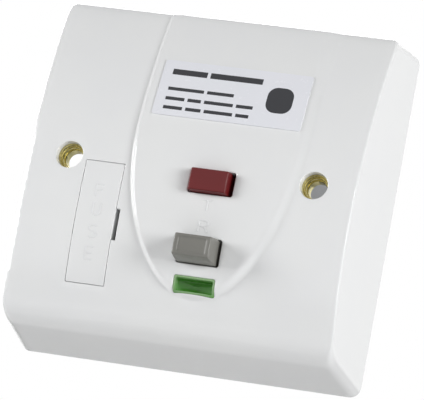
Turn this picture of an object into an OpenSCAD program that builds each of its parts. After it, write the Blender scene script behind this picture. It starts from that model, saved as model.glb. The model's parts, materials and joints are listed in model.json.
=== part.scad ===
/* [Plate] */
// Width of the front plate where it meets the wall
plate_w = 86; // [84:0.5:92]
// Height of the front plate where it meets the wall
plate_h = 86; // [84:0.5:92]
// Depth of the face in front of the wall, at its crown
plate_depth = 31.75; // [31:0.25:34]
// Radius of the curved face, about a level axis
face_r = 108; // [100:1:140]
// Height of the crown of the face, from the plate's middle
crown_z = -8.7; // [-10:0.1:-7]
// Draft of the two sides, in degrees
side_draft = 4.9; // [3:0.1:5.5]
// Draft of the top and bottom edges, in degrees
end_draft = 6.2; // [4:0.1:7]
// Radius that rolls the face over into the bottom edge
bottom_roll = 8; // [6:0.5:10]
// Radius between the face and the top edge
top_roll = 2.2; // [1:0.1:3]
// Radius of the four corners
corner_r = 2.6; // [1.5:0.1:4]
// Wall of the front plate
plate_wall = 2.4; // [2:0.1:2.6]

/* [Raised tongue] */
// Width of the tongue at its foot
tongue_w = 43; // [40:0.5:45]
// Sideways offset of the tongue from the plate's middle
tongue_x = 6; // [5:0.1:6.5]
// Height at which its sides start to curve in
tongue_shoulder = 12; // [8:0.5:15]
// Length of the curved end below the shoulder
tongue_nose = 43; // [41:0.1:44]
// Rise of the tongue above the face, at the crown
tongue_lift = 1.15; // [0.8:0.05:1.5]
// How far its arc is set down, so that it fades out at the top
tongue_fade = 1.05; // [0.5:0.05:1.3]
// Width of its sloping flank
tongue_flank = 1.6; // [1:0.1:2]
// Share of that width that is left at the tip of the nose
nose_share = 0.65; // [0.5:0.05:1]

/* [Label] */
// Width of the label
label_w = 36.6; // [30:0.2:38]
// Height of the label
label_h = 14.7; // [10:0.1:16]
// Height of the label's middle
label_z = 20; // [18:0.5:22]
// Thickness of the label
label_t = 0.25; // [0.15:0.05:0.4]

/* [Fixings] */
// Distance between the two fixing screws
fixing_pitch = 60.3; // [60.3:0.1:61]
// Bore of the fixing eyelets
eyelet_bore = 4.6; // [4.2:0.1:5]
// Outer diameter of the eyelet's barrel
eyelet_d = 6.4; // [6.2:0.1:7]
// Diameter of the step that the screw head sits on
eyelet_step_d = 5.8; // [5.4:0.1:6]
// Depth of the eyelet's rim below the face
eyelet_sink = 0.9; // [0.3:0.1:1.5]
// Length of the eyelet
eyelet_len = 6.5; // [5:0.5:8]
// Wall of the boss round each eyelet
boss_wall = 1.6; // [1.2:0.1:2]

/* [Buttons and window] */
// Sideways place of the buttons and the window
column_x = 6.1; // [5.5:0.1:6.5]
// Width of the test button
test_w = 10; // [9.5:0.1:11]
// Height of the test button
test_h = 5.6; // [5:0.1:6]
// Height of the test button's middle
test_z = -2.7; // [-3.5:0.1:-2]
// How far the test button stands out
test_proud = 2; // [1:0.1:2.4]
// Travel of the test button
test_travel = 1.2; // [0.8:0.1:1.3]
// Width of the reset button at its foot
reset_w = 9.5; // [9:0.1:10.2]
// Height of the reset button at its foot
reset_h = 6.1; // [5.5:0.1:6.5]
// Height of the reset button's middle
reset_z = -19.4; // [-19.8:0.1:-18.5]
// How far the reset button stands out while it is tripped
reset_proud = 5.6; // [4.5:0.1:7]
// Travel of the reset button
reset_travel = 3.5; // [2.5:0.1:4]
// Width of the indicator window
window_w = 10.1; // [9:0.1:10.5]
// Height of the indicator window
window_h = 4.1; // [3.5:0.1:4.2]
// Height of the window's middle
window_z = -27.5; // [-27.8:0.1:-27.2]
// Depth of the tray in the lens, below the face of the tongue
window_sink = 3; // [2:0.1:3.2]
// Wall of that tray
window_wall = 0.6; // [0.5:0.05:0.8]
// Clearance round each button
button_gap = 0.2; // [0.15:0.05:0.3]
// Extra room in each button's opening, to the right of its cap
hole_play = 0.5; // [0:0.1:0.6]
// Corner radius of the caps
cap_corner = 0.35; // [0.2:0.05:0.6]
// Width of the lip that keeps a button in, on each side
lip = 1; // [0.8:0.1:1.4]
// Thickness of that lip
lip_t = 1; // [0.8:0.1:1.5]
// Wall of the guides behind the buttons
guide_wall = 1; // [0.8:0.1:1.2]

/* [Fuse] */
// Diameter of the fuse
fuse_d = 6.35; // [6.3:0.05:6.4]
// Length of the fuse
fuse_len = 25.4; // [25:0.1:26]
// Length of each end cap
fuse_cap = 6; // [5:0.1:7]
// Sideways place of the fuse carrier
carrier_x = -20.8; // [-21.5:0.1:-20.5]
// Height of the carrier's middle
carrier_z = -15.5; // [-16:0.1:-15]
// Width of the opening for the carrier
carrier_w = 9.8; // [9.5:0.1:10]
// Room beyond each end of the fuse, with the carrier's wall
carrier_end = 2.15; // [2.1:0.05:2.6]
// Clearance round the carrier
carrier_gap = 0.2; // [0.15:0.05:0.25]
// Thickness of the carrier's front
carrier_t = 3.4; // [3:0.1:3.8]
// How far the carrier draws out
carrier_travel = 18; // [10:0.5:18]
// Length of the slot that lets a screwdriver lift the carrier
pry_slot_len = 7.6; // [6:0.1:9]
// Width of that slot
pry_slot_w = 1; // [0.8:0.1:1.4]
// Height of the slot's middle
pry_slot_z = -15.5; // [-17:0.1:-14]
// Depth of that slot
pry_slot_depth = 3.5; // [2.5:0.1:5]
// Thickness of the spring clips that hold the fuse
clip_t = 0.5; // [0.4:0.05:0.6]
// Width of each clip
clip_w = 4; // [3:0.1:5]
// Running gap between a clip and the fuse
clip_gap = 0.3; // [0.3:0.05:0.4]

/* [Rear housing] */
// Width of the housing behind the plate
housing_w = 49; // [48:0.5:52]
// Height of that housing
housing_h = 62; // [62:0.5:68]
// How far it reaches into the wall box
housing_rear = 18; // [18:0.5:22]
// How far it reaches forward inside the plate
housing_front = 12; // [12:0.5:13]
// Wall of the housing
housing_wall = 1.8; // [1.6:0.1:2]
// Sideways place of the screws that join housing and plate
post_x = 31; // [30:0.5:32]
// Height of those screws
post_z = 25; // [24:0.5:27]
// Diameter of the posts that take them
post_d = 7; // [6.5:0.5:8]
// Thickness of the housing's ears
ear_t = 2.5; // [2:0.1:3]
// Shank diameter of the housing screws
post_screw_d = 2.8; // [2.5:0.1:3]

/* [Circuit board] */
// Thickness of the circuit board
board_t = 1.6; // [1.2:0.1:1.8]
// Clearance between the board and the housing
board_gap = 0.3; // [0.2:0.05:0.5]
// Depth of the board's front below the housing's front edge
board_sink = 0.4; // [0.2:0.1:0.6]
// Side of the square rests that carry the board
board_rest = 3; // [2.5:0.1:4]
// Thickness of the frame that stands on the board
frame_t = 1.5; // [1.2:0.1:2]

/* [Contacts] */
// Distance between the two contacts of a pole
pole_span = 16; // [15:0.1:17]
// Height of the line pole
line_z = -9; // [-9.5:0.1:-8.5]
// Height of the neutral pole
neutral_z = -20; // [-20.5:0.1:-19.5]
// Radius of a contact tip
tip_r = 1.5; // [1.2:0.1:1.8]
// Thickness of a contact tip
tip_t = 1; // [0.8:0.1:1.2]
// Thickness of the moving bridges
bridge_t = 0.8; // [0.6:0.1:1]
// Width of the moving bridges
bridge_w = 4; // [3.5:0.1:5]
// Gap left between closed contacts
contact_gap = 0.1; // [0.05:0.05:0.3]
// Thickness of the carriage plate
carriage_t = 2; // [1.5:0.1:2.5]
// Length of the contact springs
contact_spring_len = 8; // [7:0.1:8.5]
// Thickness of the fixed bars
bar_t = 1; // [0.8:0.1:1.2]
// Width of the fixed bars
bar_w = 2.4; // [2:0.1:3]

/* [Terminals] */
// Width of a terminal block
terminal_w = 8; // [7:0.1:8.4]
// Height of a terminal block
terminal_h = 8.4; // [7:0.1:8.6]
// Depth of a terminal block
terminal_d = 8; // [7.5:0.1:8]
// Bore for the wire
wire_bore = 4.2; // [3.6:0.1:4.4]
// Sideways place of the outer terminals
terminal_x = 17; // [16.8:0.1:17.4]
// Shank diameter of the terminal screws
clamp_screw_d = 3.5; // [3:0.1:4]
// Head diameter of the terminal screws
clamp_head_d = 5; // [4.5:0.1:5.4]

/* [Residual current parts] */
// Outer diameter of the current transformer
ring_d = 16; // [15:0.1:16]
// Bore of the current transformer
ring_bore = 8; // [7.6:0.1:8.4]
// Length of the current transformer
ring_len = 7; // [5:0.1:8]
// Height of the transformer's middle
ring_z = 8; // [7.5:0.1:8.5]
// Diameter of the solenoid's coil
coil_d = 9; // [8:0.1:9.2]
// Length of the solenoid's coil
coil_len = 11; // [9:0.1:12]
// Sideways place of the solenoid
coil_x = 17.2; // [17:0.1:17.4]
// Height of the coil's lower end
coil_z = 2.2; // [2:0.1:3]
// Diameter of the plunger
plunger_d = 3; // [2.6:0.1:3.4]
// Travel of the plunger
plunger_travel = 1.5; // [1:0.1:1.8]

/* [Hidden] */

// X runs to the right, Y into the wall and Z up, with the wall at Y = 0.
eps = 0.01;
far = 60;
side_slope = tan(side_draft);
end_slope = tan(end_draft);
fixing_x = fixing_pitch / 2;

// Depth of the plate's face at a height, for the face or a surface set in by i.
function face_y(z, i = 0) =
    face_r - plate_depth - sqrt(pow(face_r - i, 2) - pow(z - crown_z, 2));
// The same for the tongue, whose arc has the same radius plus its lift.
tongue_r = face_r + tongue_lift;
tongue_crown_z = crown_z - tongue_fade;
function tongue_y(z, rise = 0) =
    face_r - plate_depth - sqrt(pow(tongue_r + rise, 2) - pow(z - tongue_crown_z, 2));

// Points of an arc in a plane, from one angle to another.
function arc(centre, r, from, to, n) =
    [for (k = [0 : n]) let (a = from + (to - from) * k / n)
        [centre[0] + r * cos(a), centre[1] + r * sin(a)]];
// Points of a rectangle with round corners, about its middle.
function round_rect(w, h, r, n = 6) = concat(
    arc([w / 2 - r, h / 2 - r], r, 0, 90, n),
    arc([-w / 2 + r, h / 2 - r], r, 90, 180, n),
    arc([-w / 2 + r, -h / 2 + r], r, 180, 270, n),
    arc([w / 2 - r, -h / 2 + r], r, 270, 360, n));

// A cuboid given by its two ends on each axis.
module span(x, y, z) {
    translate([x[0], y[0], z[0]]) cube([x[1] - x[0], y[1] - y[0], z[1] - z[0]]);
}
// A cuboid centred in X and Z that runs from y0 to y1.
module block(x, z, w, h, y0, y1) {
    span([x - w / 2, x + w / 2], [y0, y1], [z - h / 2, z + h / 2]);
}
// A round bar along Y from y0 to y1.
module rod_y(x, z, r, y0, y1) {
    translate([x, y0, z]) rotate([-90, 0, 0]) cylinder(r = r, h = y1 - y0, $fn = 48);
}
// A round bar along X from x0 to x1.
module rod_x(y, z, r, x0, x1) {
    translate([x0, y, z]) rotate([0, 90, 0]) cylinder(r = r, h = x1 - x0, $fn = 48);
}
// A round bar along Z from z0 to z1.
module rod_z(x, y, r, z0, z1) {
    translate([x, y, z0]) cylinder(r = r, h = z1 - z0, $fn = 48);
}
// A plate with round corners, square to Y.
module round_block(x, z, w, h, r, y0, y1) {
    translate([x, y1, z]) rotate([90, 0, 0])
        linear_extrude(height = y1 - y0) polygon(round_rect(w, h, r));
}
// A bar of constant section that follows straight runs from point to point.
module run(points, size) {
    for (k = [0 : len(points) - 2]) {
        a = points[k];
        b = points[k + 1];
        span([min(a[0], b[0]) - size[0] / 2, max(a[0], b[0]) + size[0] / 2],
             [min(a[1], b[1]) - size[1] / 2, max(a[1], b[1]) + size[1] / 2],
             [min(a[2], b[2]) - size[2] / 2, max(a[2], b[2]) + size[2] / 2]);
    }
}
// A helical compression spring along Y.
module coil_spring(x, z, r, wire, y0, y1, turns) {
    sides = 6;
    steps = 12 * turns;
    length = y1 - y0 - 2 * wire;
    rings = [for (k = [0 : steps]) let (a = 360 * k / 12, y = y0 + wire + length * k / steps)
        [for (s = [0 : sides - 1]) let (t = 360 * s / sides, q = r + wire / 2 * cos(t))
            [x + q * cos(a), y + wire / 2 * sin(t), z + q * sin(a)]]];
    walls = [for (k = [0 : steps - 1], s = [0 : sides - 1])
        let (p = k * sides, t = (s + 1) % sides)
            [p + s, p + sides + s, p + sides + t, p + t]];
    first = [for (s = [0 : sides - 1]) s];
    last = [for (s = [sides - 1 : -1 : 0]) steps * sides + s];
    polyhedron([for (g = rings) for (q = g) q], concat(walls, [first], [last]), convexity = 8);
}

// The centre of a fillet between a straight edge and the curved face, in (Y, Z).
// The edge starts at the wall and leans in at the end draft; up is 1 for the top edge.
function fillet_centre(up, i, r) =
    let (u = [-cos(end_draft), -up * sin(end_draft)],
         n = [sin(end_draft), -up * cos(end_draft)],
         q = [0, up * plate_h / 2] + n * (r + i) - [face_r - plate_depth, crown_z],
         along = -(q * u) + sqrt(pow(q * u, 2) - q * q + pow(face_r - i - r, 2)))
    [0, up * plate_h / 2] + n * (r + i) + u * along;

// Side profile in (Y, Z) of the plate's front, with its surface set in by i.
function face_profile(i, back) =
    let (a = [face_r - plate_depth, crown_z],
         rb = max(bottom_roll - i, 0.5), rt = max(top_roll - i, 0.5),
         fb = fillet_centre(-1, i, rb), ft = fillet_centre(1, i, rt),
         near_b = atan2(fb[1] - a[1], fb[0] - a[0]), near_t = atan2(ft[1] - a[1], ft[0] - a[0]),
         b0 = near_b < 0 ? near_b + 360 : near_b, t0 = near_t < 0 ? near_t + 360 : near_t,
         b1 = 270 - end_draft - 4, t1 = 90 + end_draft + 4,
         low = arc(fb, rb, b1, b0, 8), high = arc(ft, rt, t0, t1, 6),
         face = arc(a, face_r - i, b0, t0, 40))
    concat(low, [for (k = [1 : 39]) face[k]], high, [[back, plate_h], [back, -plate_h]]);

// The plate's side faces: a block that narrows to the front, set in by i.
module drafted_sides(i, back) {
    w0 = plate_w - 2 * i / cos(side_draft);
    h0 = plate_h - 2 * i / cos(end_draft);
    r = max(corner_r - i, 0.4);
    hull() {
        round_block(0, 0, w0 + 2 * back * side_slope, h0 + 2 * back * end_slope, r, back - eps, back);
        round_block(0, 0, w0 - 2 * far * side_slope, h0 - 2 * far * end_slope, r, -far, eps - far);
    }
}
module plate_form(i, back) {
    intersection() {
        drafted_sides(i, back + 2);
        rotate([90, 0, 90]) translate([0, 0, -plate_w])
            linear_extrude(height = 2 * plate_w) polygon(face_profile(i, back));
    }
}

// Outline of the tongue, set in by e: straight sides above the shoulder, an ellipse below.
tongue_top = plate_h / 2 + 6;
tongue_steps = 10;
tongue_turns = 32;
function tongue_outline(e) =
    let (a = tongue_w / 2 - e,
         b = tongue_nose - nose_share * e,
         rise = (tongue_top - tongue_shoulder) / tongue_steps)
    concat(
        [for (k = [tongue_steps : -1 : 1]) [tongue_x - a, tongue_shoulder + rise * k]],
        [for (k = [0 : tongue_turns]) let (t = 180 + 180 * k / tongue_turns)
            [tongue_x + a * cos(t), tongue_shoulder + b * sin(t)]],
        [for (k = [1 : tongue_steps]) [tongue_x + a, tongue_shoulder + rise * k]]);
// Rise of the tongue above the face at a height.
function tongue_rise(z) = face_y(z) - tongue_y(z);
// One ring of the tongue's flank: share 0 is the foot and 1 the crest.
function flank_ring(share, inset) =
    [for (q = tongue_outline(inset)) [q[0], face_y(q[1]) - share * tongue_rise(q[1]), q[1]]];
module tongue_form() {
    count = 2 * tongue_steps + tongue_turns + 1;
    rings = [
        [for (q = tongue_outline(-0.6 * tongue_flank)) [q[0], -plate_depth / 3, q[1]]],
        flank_ring(-0.6, -0.6 * tongue_flank),
        flank_ring(0.8, 0.6 * tongue_flank),
        flank_ring(0.96, 0.85 * tongue_flank),
        flank_ring(1.6, 1.15 * tongue_flank),
        [for (q = tongue_outline(1.15 * tongue_flank)) [q[0], -far, q[1]]]];
    walls = [for (g = [0 : 4], k = [0 : count - 1])
        let (m = (k + 1) % count, p = g * count)
            each [[p + k, p + count + m, p + m], [p + k, p + count + k, p + count + m]]];
    half = (count - 1) / 2;
    back = [for (k = [0 : half - 1]) let (r = count - 1 - k)
        each k < half - 1 ? [[k, k + 1, r], [k + 1, r - 1, r]] : [[k, k + 1, r]]];
    front = [for (f = back) [f[2], f[1], f[0]] + [5, 5, 5] * count];
    intersection() {
        polyhedron([for (g = rings) for (q = g) q], concat(walls, back, front), convexity = 6);
        rotate([90, 0, 90]) translate([0, 0, -plate_w]) linear_extrude(height = 2 * plate_w)
            polygon(concat(arc([face_r - plate_depth, tongue_crown_z], tongue_r,
                180 + asin((plate_h / 2 + 4 + tongue_crown_z) / tongue_r),
                180 - asin((plate_h / 2 + 4 - tongue_crown_z) / tongue_r), 44),
                [[0, plate_h], [0, -plate_h]]));
        drafted_sides(0, 2);
    }
}

// Depths along Y, from the front to the back.
guide_back = -20;
test_face = tongue_y(test_z) - test_proud;
reset_face = tongue_y(reset_z) - reset_proud;
lip_gap = 0.15;
test_lip = face_y(test_z + test_h / 2 + 1.5, plate_wall) + lip_gap;
reset_lip = face_y(reset_z + reset_h / 2, plate_wall) + lip_gap;
window_face = tongue_y(window_z) + window_sink;
window_lip = face_y(window_z - window_h / 2 - 0.4, plate_wall) + lip_gap;
board_front = board_sink - housing_front;
board_back = board_front + board_t;
frame_front = board_front - frame_t;
floor_y = housing_rear - housing_wall;
bar_back = floor_y - terminal_d;
bar_front = bar_back - bar_t;
bar_mid = (bar_back + bar_front) / 2;
fixed_tip = bar_front - tip_t;
moving_tip = fixed_tip - reset_travel - contact_gap;
bridge_back = moving_tip - tip_t;
bridge_front = bridge_back - bridge_t;
carriage_back = bridge_front - contact_spring_len;
carriage_front = carriage_back - carriage_t;

// Buttons
stem = 3.4;
stem_gap = 0.2;
spring_wire = 0.4;
test_spring_r = 2.55;
reset_spring_r = 2.95;
test_stem = 3;
// Each cap sits this far left of its stem, and its opening has the play on its right.
cap_shift = -hole_play / 2;
hole_corner = 0.5;
module button_hole(x, z, w, h) {
    round_block(x, z, w + 2 * button_gap + hole_play, h + 2 * button_gap, hole_corner, -far, 0);
}
module button_room(x, z, w, h, lip_y) {
    block(x, z, w + hole_play + 2 * (lip + button_gap), h + 2 * button_gap, lip_y - lip_gap, 0);
}
module button_guide(x, z, w, h) {
    block(x, z, w + hole_play + 2 * (lip + button_gap + guide_wall), h + 2 * (button_gap + guide_wall),
        -far, guide_back);
}

// Fuse carrier and clips
carrier_h = fuse_len + 2 * carrier_end;
fuse_y = face_y(carrier_z) + carrier_t + 0.2 + fuse_d / 2;
tunnel_wall = 1.2;
tunnel_back = -14;
leg_t = 1.2;
carrier_in_w = carrier_w - 2 * carrier_gap;
carrier_in_h = carrier_h - 2 * carrier_gap;
module carrier_opening() {
    round_block(carrier_x, carrier_z, carrier_w, carrier_h, 0.5, -far, tunnel_back + 1);
}

// Posts and bosses
post_pilot = post_screw_d / 2;
post_depth = 8;
eyelet_fit = 0.02;
module at_posts() {
    for (a = [-1, 1], b = [-1, 1]) translate([a * post_x, 0, b * post_z]) children();
}
eyelet_front = face_y(0) + eyelet_sink;
eyelet_back = eyelet_front + eyelet_len;

module front_plate() {
    color([0.92, 0.93, 0.93])
    difference() {
        union() {
            difference() {
                union() {
                    plate_form(0, 0);
                    tongue_form();
                }
                plate_form(plate_wall, 3);
            }
            intersection() {
                plate_form(plate_wall / 2, 0);
                union() {
                    button_guide(column_x, test_z, test_w, test_h);
                    button_guide(column_x, reset_z, reset_w, reset_h);
                    block(carrier_x, carrier_z, carrier_w + 2 * tunnel_wall,
                        carrier_h + 2 * tunnel_wall, -far, tunnel_back);
                    for (a = [-1, 1]) rod_y(a * fixing_x, 0, eyelet_d / 2 + boss_wall, -far, eyelet_back);
                    at_posts() rod_y(0, 0, post_d / 2, -far, -housing_front);
                }
            }
        }
        button_hole(column_x, test_z, test_w, test_h);
        button_room(column_x, test_z, test_w, test_h, test_lip);
        button_hole(column_x, reset_z, reset_w, reset_h);
        button_room(column_x, reset_z, reset_w, reset_h, reset_lip);
        round_block(column_x, window_z, window_w, window_h, hole_corner, -far, 0);
        carrier_opening();
        block(carrier_x + carrier_w / 2, pry_slot_z, 2 * pry_slot_w, pry_slot_len,
            -far, face_y(pry_slot_z) + pry_slot_depth);
        for (a = [-1, 1]) rod_y(a * fixing_x, 0, eyelet_d / 2 + eyelet_fit, -far, 1);
        at_posts() rod_y(0, 0, post_pilot, -housing_front - post_depth, 1);
    }
}
module fixing_eyelets() {
    color([0.8, 0.66, 0.3])
    for (a = [-1, 1]) translate([a * fixing_x, 0, 0]) difference() {
        rod_y(0, 0, eyelet_d / 2, eyelet_front, eyelet_back);
        rod_y(0, 0, eyelet_bore / 2, eyelet_front - 1, eyelet_back + 1);
        rod_y(0, 0, eyelet_step_d / 2, eyelet_front - 1, eyelet_front + eyelet_len / 4);
    }
}
module rating_label() {
    color([0.9, 0.92, 0.96])
    intersection() {
        round_block(tongue_x, label_z, label_w, label_h, 0.5, -far, 0);
        translate([-plate_w, face_r - plate_depth, tongue_crown_z]) rotate([0, 90, 0])
            difference() {
                cylinder(r = tongue_r + label_t, h = 2 * plate_w, $fn = 360);
                translate([0, 0, -1]) cylinder(r = tongue_r + 0.02, h = 2 * plate_w + 2, $fn = 360);
            }
    }
}
// A button: a cap that narrows by its taper over a length, a lip inside the plate and a stem behind it.
// Its front is dished by a cylinder of the given radius, depth and width.
module button(z, w, h, face, lip_y, stem_w, stem_end, taper, slope, dish) {
    x = column_x + cap_shift;
    difference() {
        union() {
            round_block(x, z, w, h, cap_corner, face + slope, lip_y);
            hull() {
                round_block(x, z, w, h, cap_corner, face + slope, face + slope + eps);
                round_block(x, z, w - taper[0], h - taper[1], cap_corner, face, face + eps);
            }
            block(column_x, z, w + hole_play + 2 * lip, h, lip_y, lip_y + lip_t);
            block(column_x, z, stem_w, stem_w, lip_y + lip_t, stem_end);
        }
        translate([x, face - dish[0] + dish[1], z]) rod_x(0, 0, dish[0], -dish[2] / 2, dish[2] / 2);
    }
}
test_stem_end = frame_front - 4;
test_slope = 1.2;
test_dish = [30, 0.05, test_w];
test_taper = [0.3, 0.3];
module test_button() {
    color([0.55, 0.12, 0.16])
    button(test_z, test_w, test_h, test_face, test_lip, test_stem, test_stem_end,
        test_taper, test_slope, test_dish);
}
reset_slope = 4;
reset_dish = [14, 0.2, reset_w - 2];
reset_taper = [0.3, 0.7];
module reset_button() {
    color([0.5, 0.5, 0.48])
    button(reset_z, reset_w, reset_h, reset_face, reset_lip, stem, carriage_front,
        reset_taper, reset_slope, reset_dish);
}
// The lens: a tray whose rim follows the tongue, with a lip inside the plate.
lens_fit = 0.05;
lens_rim = 0.15;
module indicator_window() {
    color([0.4, 0.72, 0.42, 0.7])
    difference() {
        union() {
            intersection() {
                round_block(column_x, window_z, window_w - 2 * lens_fit, window_h - 2 * lens_fit,
                    hole_corner - lens_fit, -far, window_lip);
                translate([0, face_r - plate_depth, tongue_crown_z])
                    rod_x(0, 0, tongue_r - lens_rim, 0, plate_w);
            }
            block(column_x, window_z, window_w + 2 * lip, window_h - 2 * lens_fit,
                window_lip, window_lip + lip_t);
        }
        round_block(column_x, window_z, window_w - 2 * window_wall, window_h - 2 * window_wall,
            cap_corner, -far, window_face);
    }
}

// Indicator drum, in two cheeks of the frame
drum_r = 3.2;
drum_gap = 0.6;
drum_y = window_lip + lip_t + drum_gap + drum_r;
drum_z = window_z - 0.4;
trunnion_r = 0.8;
trunnion_fit = 0.06;
cheek_t = 1.2;
cheek_gap = 0.3;
drum_half = window_w / 2 - 0.3;
module indicator_drum() {
    color([0.2, 0.55, 0.25])
    union() {
        rod_x(drum_y, drum_z, drum_r, column_x - drum_half, column_x + drum_half);
        rod_x(drum_y, drum_z, trunnion_r, column_x - drum_half - cheek_gap - cheek_t,
            column_x + drum_half + cheek_gap + cheek_t);
    }
}
frame_side = 8.4;
frame_top = 2;
module button_frame() {
    color([0.75, 0.77, 0.78])
    difference() {
        union() {
            span([column_x - frame_side, column_x + frame_side], [frame_front, board_front],
                [board_gap - inner_h / 2, frame_top]);
            for (a = [-1, 1])
                block(column_x + a * (drum_half + cheek_gap + cheek_t / 2), drum_z, cheek_t, 3.6,
                    drum_y - 1.8, frame_front);
        }
        rod_x(drum_y, drum_z, trunnion_r + trunnion_fit, column_x - frame_side, column_x + frame_side);
        block(column_x, reset_z, stem + 2 * stem_gap, stem + 2 * stem_gap, frame_front - 1, board_front + 1);
    }
}
module test_spring() {
    color([0.7, 0.7, 0.72])
    coil_spring(column_x, test_z, test_spring_r, spring_wire, test_lip + lip_t, frame_front, 6);
}
module reset_spring() {
    color([0.7, 0.7, 0.72])
    coil_spring(column_x, reset_z, reset_spring_r, spring_wire, reset_lip + lip_t, frame_front, 7);
}
// A bent strip under the test stem that closes the test circuit.
leaf_t = 0.4;
leaf_w = 1.6;
module test_leaf() {
    color([0.85, 0.7, 0.35])
    translate([column_x + 7, 0, test_z]) union() {
        span([-1.2, 1.2], [frame_front - leaf_t, frame_front], [-leaf_w / 2, leaf_w / 2]);
        span([-1.2, -1.2 + leaf_t], [frame_front - 2, frame_front], [-leaf_w / 2, leaf_w / 2]);
        span([-7.6, -1.2 + leaf_t], [frame_front - 2 - leaf_t, frame_front - 2], [-leaf_w / 2, leaf_w / 2]);
    }
}

module fuse_carrier() {
    color([0.93, 0.94, 0.94])
    difference() {
        intersection() {
            union() {
                block(carrier_x, carrier_z, carrier_in_w, carrier_in_h, -far, face_y(carrier_z) + carrier_t);
                block(carrier_x, carrier_z, carrier_in_w, fuse_len - 2 * fuse_cap - 1.4, -far, fuse_y + 1.6);
                for (a = [-1, 1]) block(carrier_x, carrier_z + a * (carrier_in_h - leg_t) / 2,
                    carrier_in_w - 3, leg_t, -far, tunnel_back);
            }
            round_block(carrier_x, carrier_z, carrier_in_w, carrier_in_h, 0.4, -far, 0);
            plate_form(0, 0);
        }
        rod_z(carrier_x, fuse_y, fuse_d / 2 - 0.1, carrier_z - fuse_len / 2, carrier_z + fuse_len / 2);
        block(carrier_x, carrier_z, fuse_d - 0.8, fuse_len, fuse_y, 0);
    }
}
module fuse_tube() {
    color([0.9, 0.88, 0.82])
    union() {
        rod_z(carrier_x, fuse_y, fuse_d / 2 - 0.35,
            carrier_z - fuse_len / 2 + 0.4, carrier_z + fuse_len / 2 - 0.4);
        rod_z(carrier_x, fuse_y, fuse_d / 2 - 0.15, carrier_z - fuse_len / 2 + fuse_cap,
            carrier_z + fuse_len / 2 - fuse_cap);
    }
}
module fuse_caps() {
    color([0.8, 0.78, 0.7])
    for (a = [-1, 1]) translate([carrier_x, fuse_y, carrier_z + a * (fuse_len - fuse_cap) / 2]) difference() {
        rod_z(0, 0, fuse_d / 2, -fuse_cap / 2, fuse_cap / 2);
        rod_z(0, 0, fuse_d / 2 - 0.33,
            a > 0 ? -fuse_cap : -fuse_cap / 2 + 0.38, a > 0 ? fuse_cap / 2 - 0.38 : fuse_cap);
    }
}
// A clip that grips one fuse cap from behind, with a tail through the board.
clip_half = fuse_d / 2 + clip_gap;
clip_back = fuse_y + fuse_d / 2 + clip_gap;
tail_w = 2;
clip_foot = 1.4;
module fuse_clip(side, tail_end) {
    z = carrier_z + side * (fuse_len - fuse_cap) / 2;
    color([0.82, 0.68, 0.35])
    union() {
        for (a = [-1, 1]) block(carrier_x + a * (clip_half + clip_t / 2), z, clip_t, clip_w,
            fuse_y - fuse_d / 2, clip_back + clip_t);
        block(carrier_x, z, 2 * clip_half, clip_w, clip_back, clip_back + clip_t);
        block(carrier_x, z, tail_w, bar_t, clip_back + clip_t, tail_end);
        block(carrier_x, z, tail_w + clip_foot, clip_w, board_front - 0.8, board_front);
    }
}
module fuse_clip_upper() {
    fuse_clip(1, bar_front);
}
module fuse_clip_lower() {
    fuse_clip(-1, bar_back);
}

// Rear housing
inner_w = housing_w - 2 * housing_wall;
inner_h = housing_h - 2 * housing_wall;
rest_z = 17;
carriage_w = pole_span + 2;
rail_t = 1.2;
rail_gap = 0.3;
rail_z = [-18, -12];
terminal_z = inner_h / 2 - terminal_h / 2;
latch_z = coil_z - 4.8;
yoke_t = 1;
coil_y = board_back + yoke_t + coil_d / 2 + 0.5;
latch_y = coil_y + plunger_d / 2 + 4;
latch_boss_r = 2;
pin_r = 0.8;
latch_x = coil_x + 0.3;
lever_t = 1.2;
module housing_ears() {
    for (a = [-1, 1], b = [-1, 1]) {
        rod_y(a * post_x, b * post_z, post_d / 2, -housing_front, ear_t - housing_front);
        span([min(a * post_x, a * (housing_w / 2 - 1)), max(a * post_x, a * (housing_w / 2 - 1))],
            [-housing_front, ear_t - housing_front], [b * post_z - post_d / 2, b * post_z + post_d / 2]);
    }
}
module at_terminals() {
    for (x = [-terminal_x, 0, terminal_x], a = [-1, 1]) translate([x, 0, a * terminal_z]) children();
}
module rear_housing() {
    color([0.86, 0.87, 0.88])
    difference() {
        union() {
            difference() {
                union() {
                    round_block(0, 0, housing_w, housing_h, 3, -housing_front, housing_rear);
                    housing_ears();
                }
                round_block(0, 0, inner_w, inner_h, 1.5, -housing_front - 1, floor_y);
            }
            for (a = [-1, 1], b = [-1, 1])
                block(a * (inner_w - 1.5) / 2, b * rest_z, 1.5, board_rest, board_back, floor_y);
            for (a = [-1, 1]) span(
                [column_x + a * (carriage_w / 2 + rail_gap + rail_t / 2) - rail_t / 2,
                 column_x + a * (carriage_w / 2 + rail_gap + rail_t / 2) + rail_t / 2],
                [board_back + 0.3, floor_y], rail_z);
            rod_x(latch_y, latch_z, latch_boss_r, latch_x + lever_t / 2 + 0.3, inner_w / 2 + 0.5);
            difference() {
                block(0, ring_z, ring_d * 0.6, ring_len * 0.7, bar_mid + ring_d / 4, floor_y);
                rod_z(0, bar_mid, ring_d / 2 + 0.1, ring_z - ring_len, ring_z + ring_len);
            }
        }
        at_terminals() union() {
            rod_y(0, 0, clamp_head_d / 2 + 0.2, floor_y - eps, housing_rear + 1);
            rod_z(0, bar_back + terminal_d / 2, wire_bore / 2 + 0.8, -terminal_h, terminal_h);
        }
        at_posts() rod_y(0, 0, post_pilot + 0.2, -housing_front - 1, ear_t - housing_front + 1);
        rod_x(latch_y, latch_z, pin_r + 0.02, latch_x - 3, latch_x + lever_t / 2 + 3);
    }
}
module housing_screws() {
    color([0.75, 0.72, 0.6])
    at_posts() union() {
        rod_y(0, 0, post_pilot - 0.02, 0.6 - housing_front - post_depth, ear_t - housing_front);
        rod_y(0, 0, post_screw_d * 0.9, ear_t - housing_front, ear_t - housing_front + 1.8);
    }
}
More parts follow.
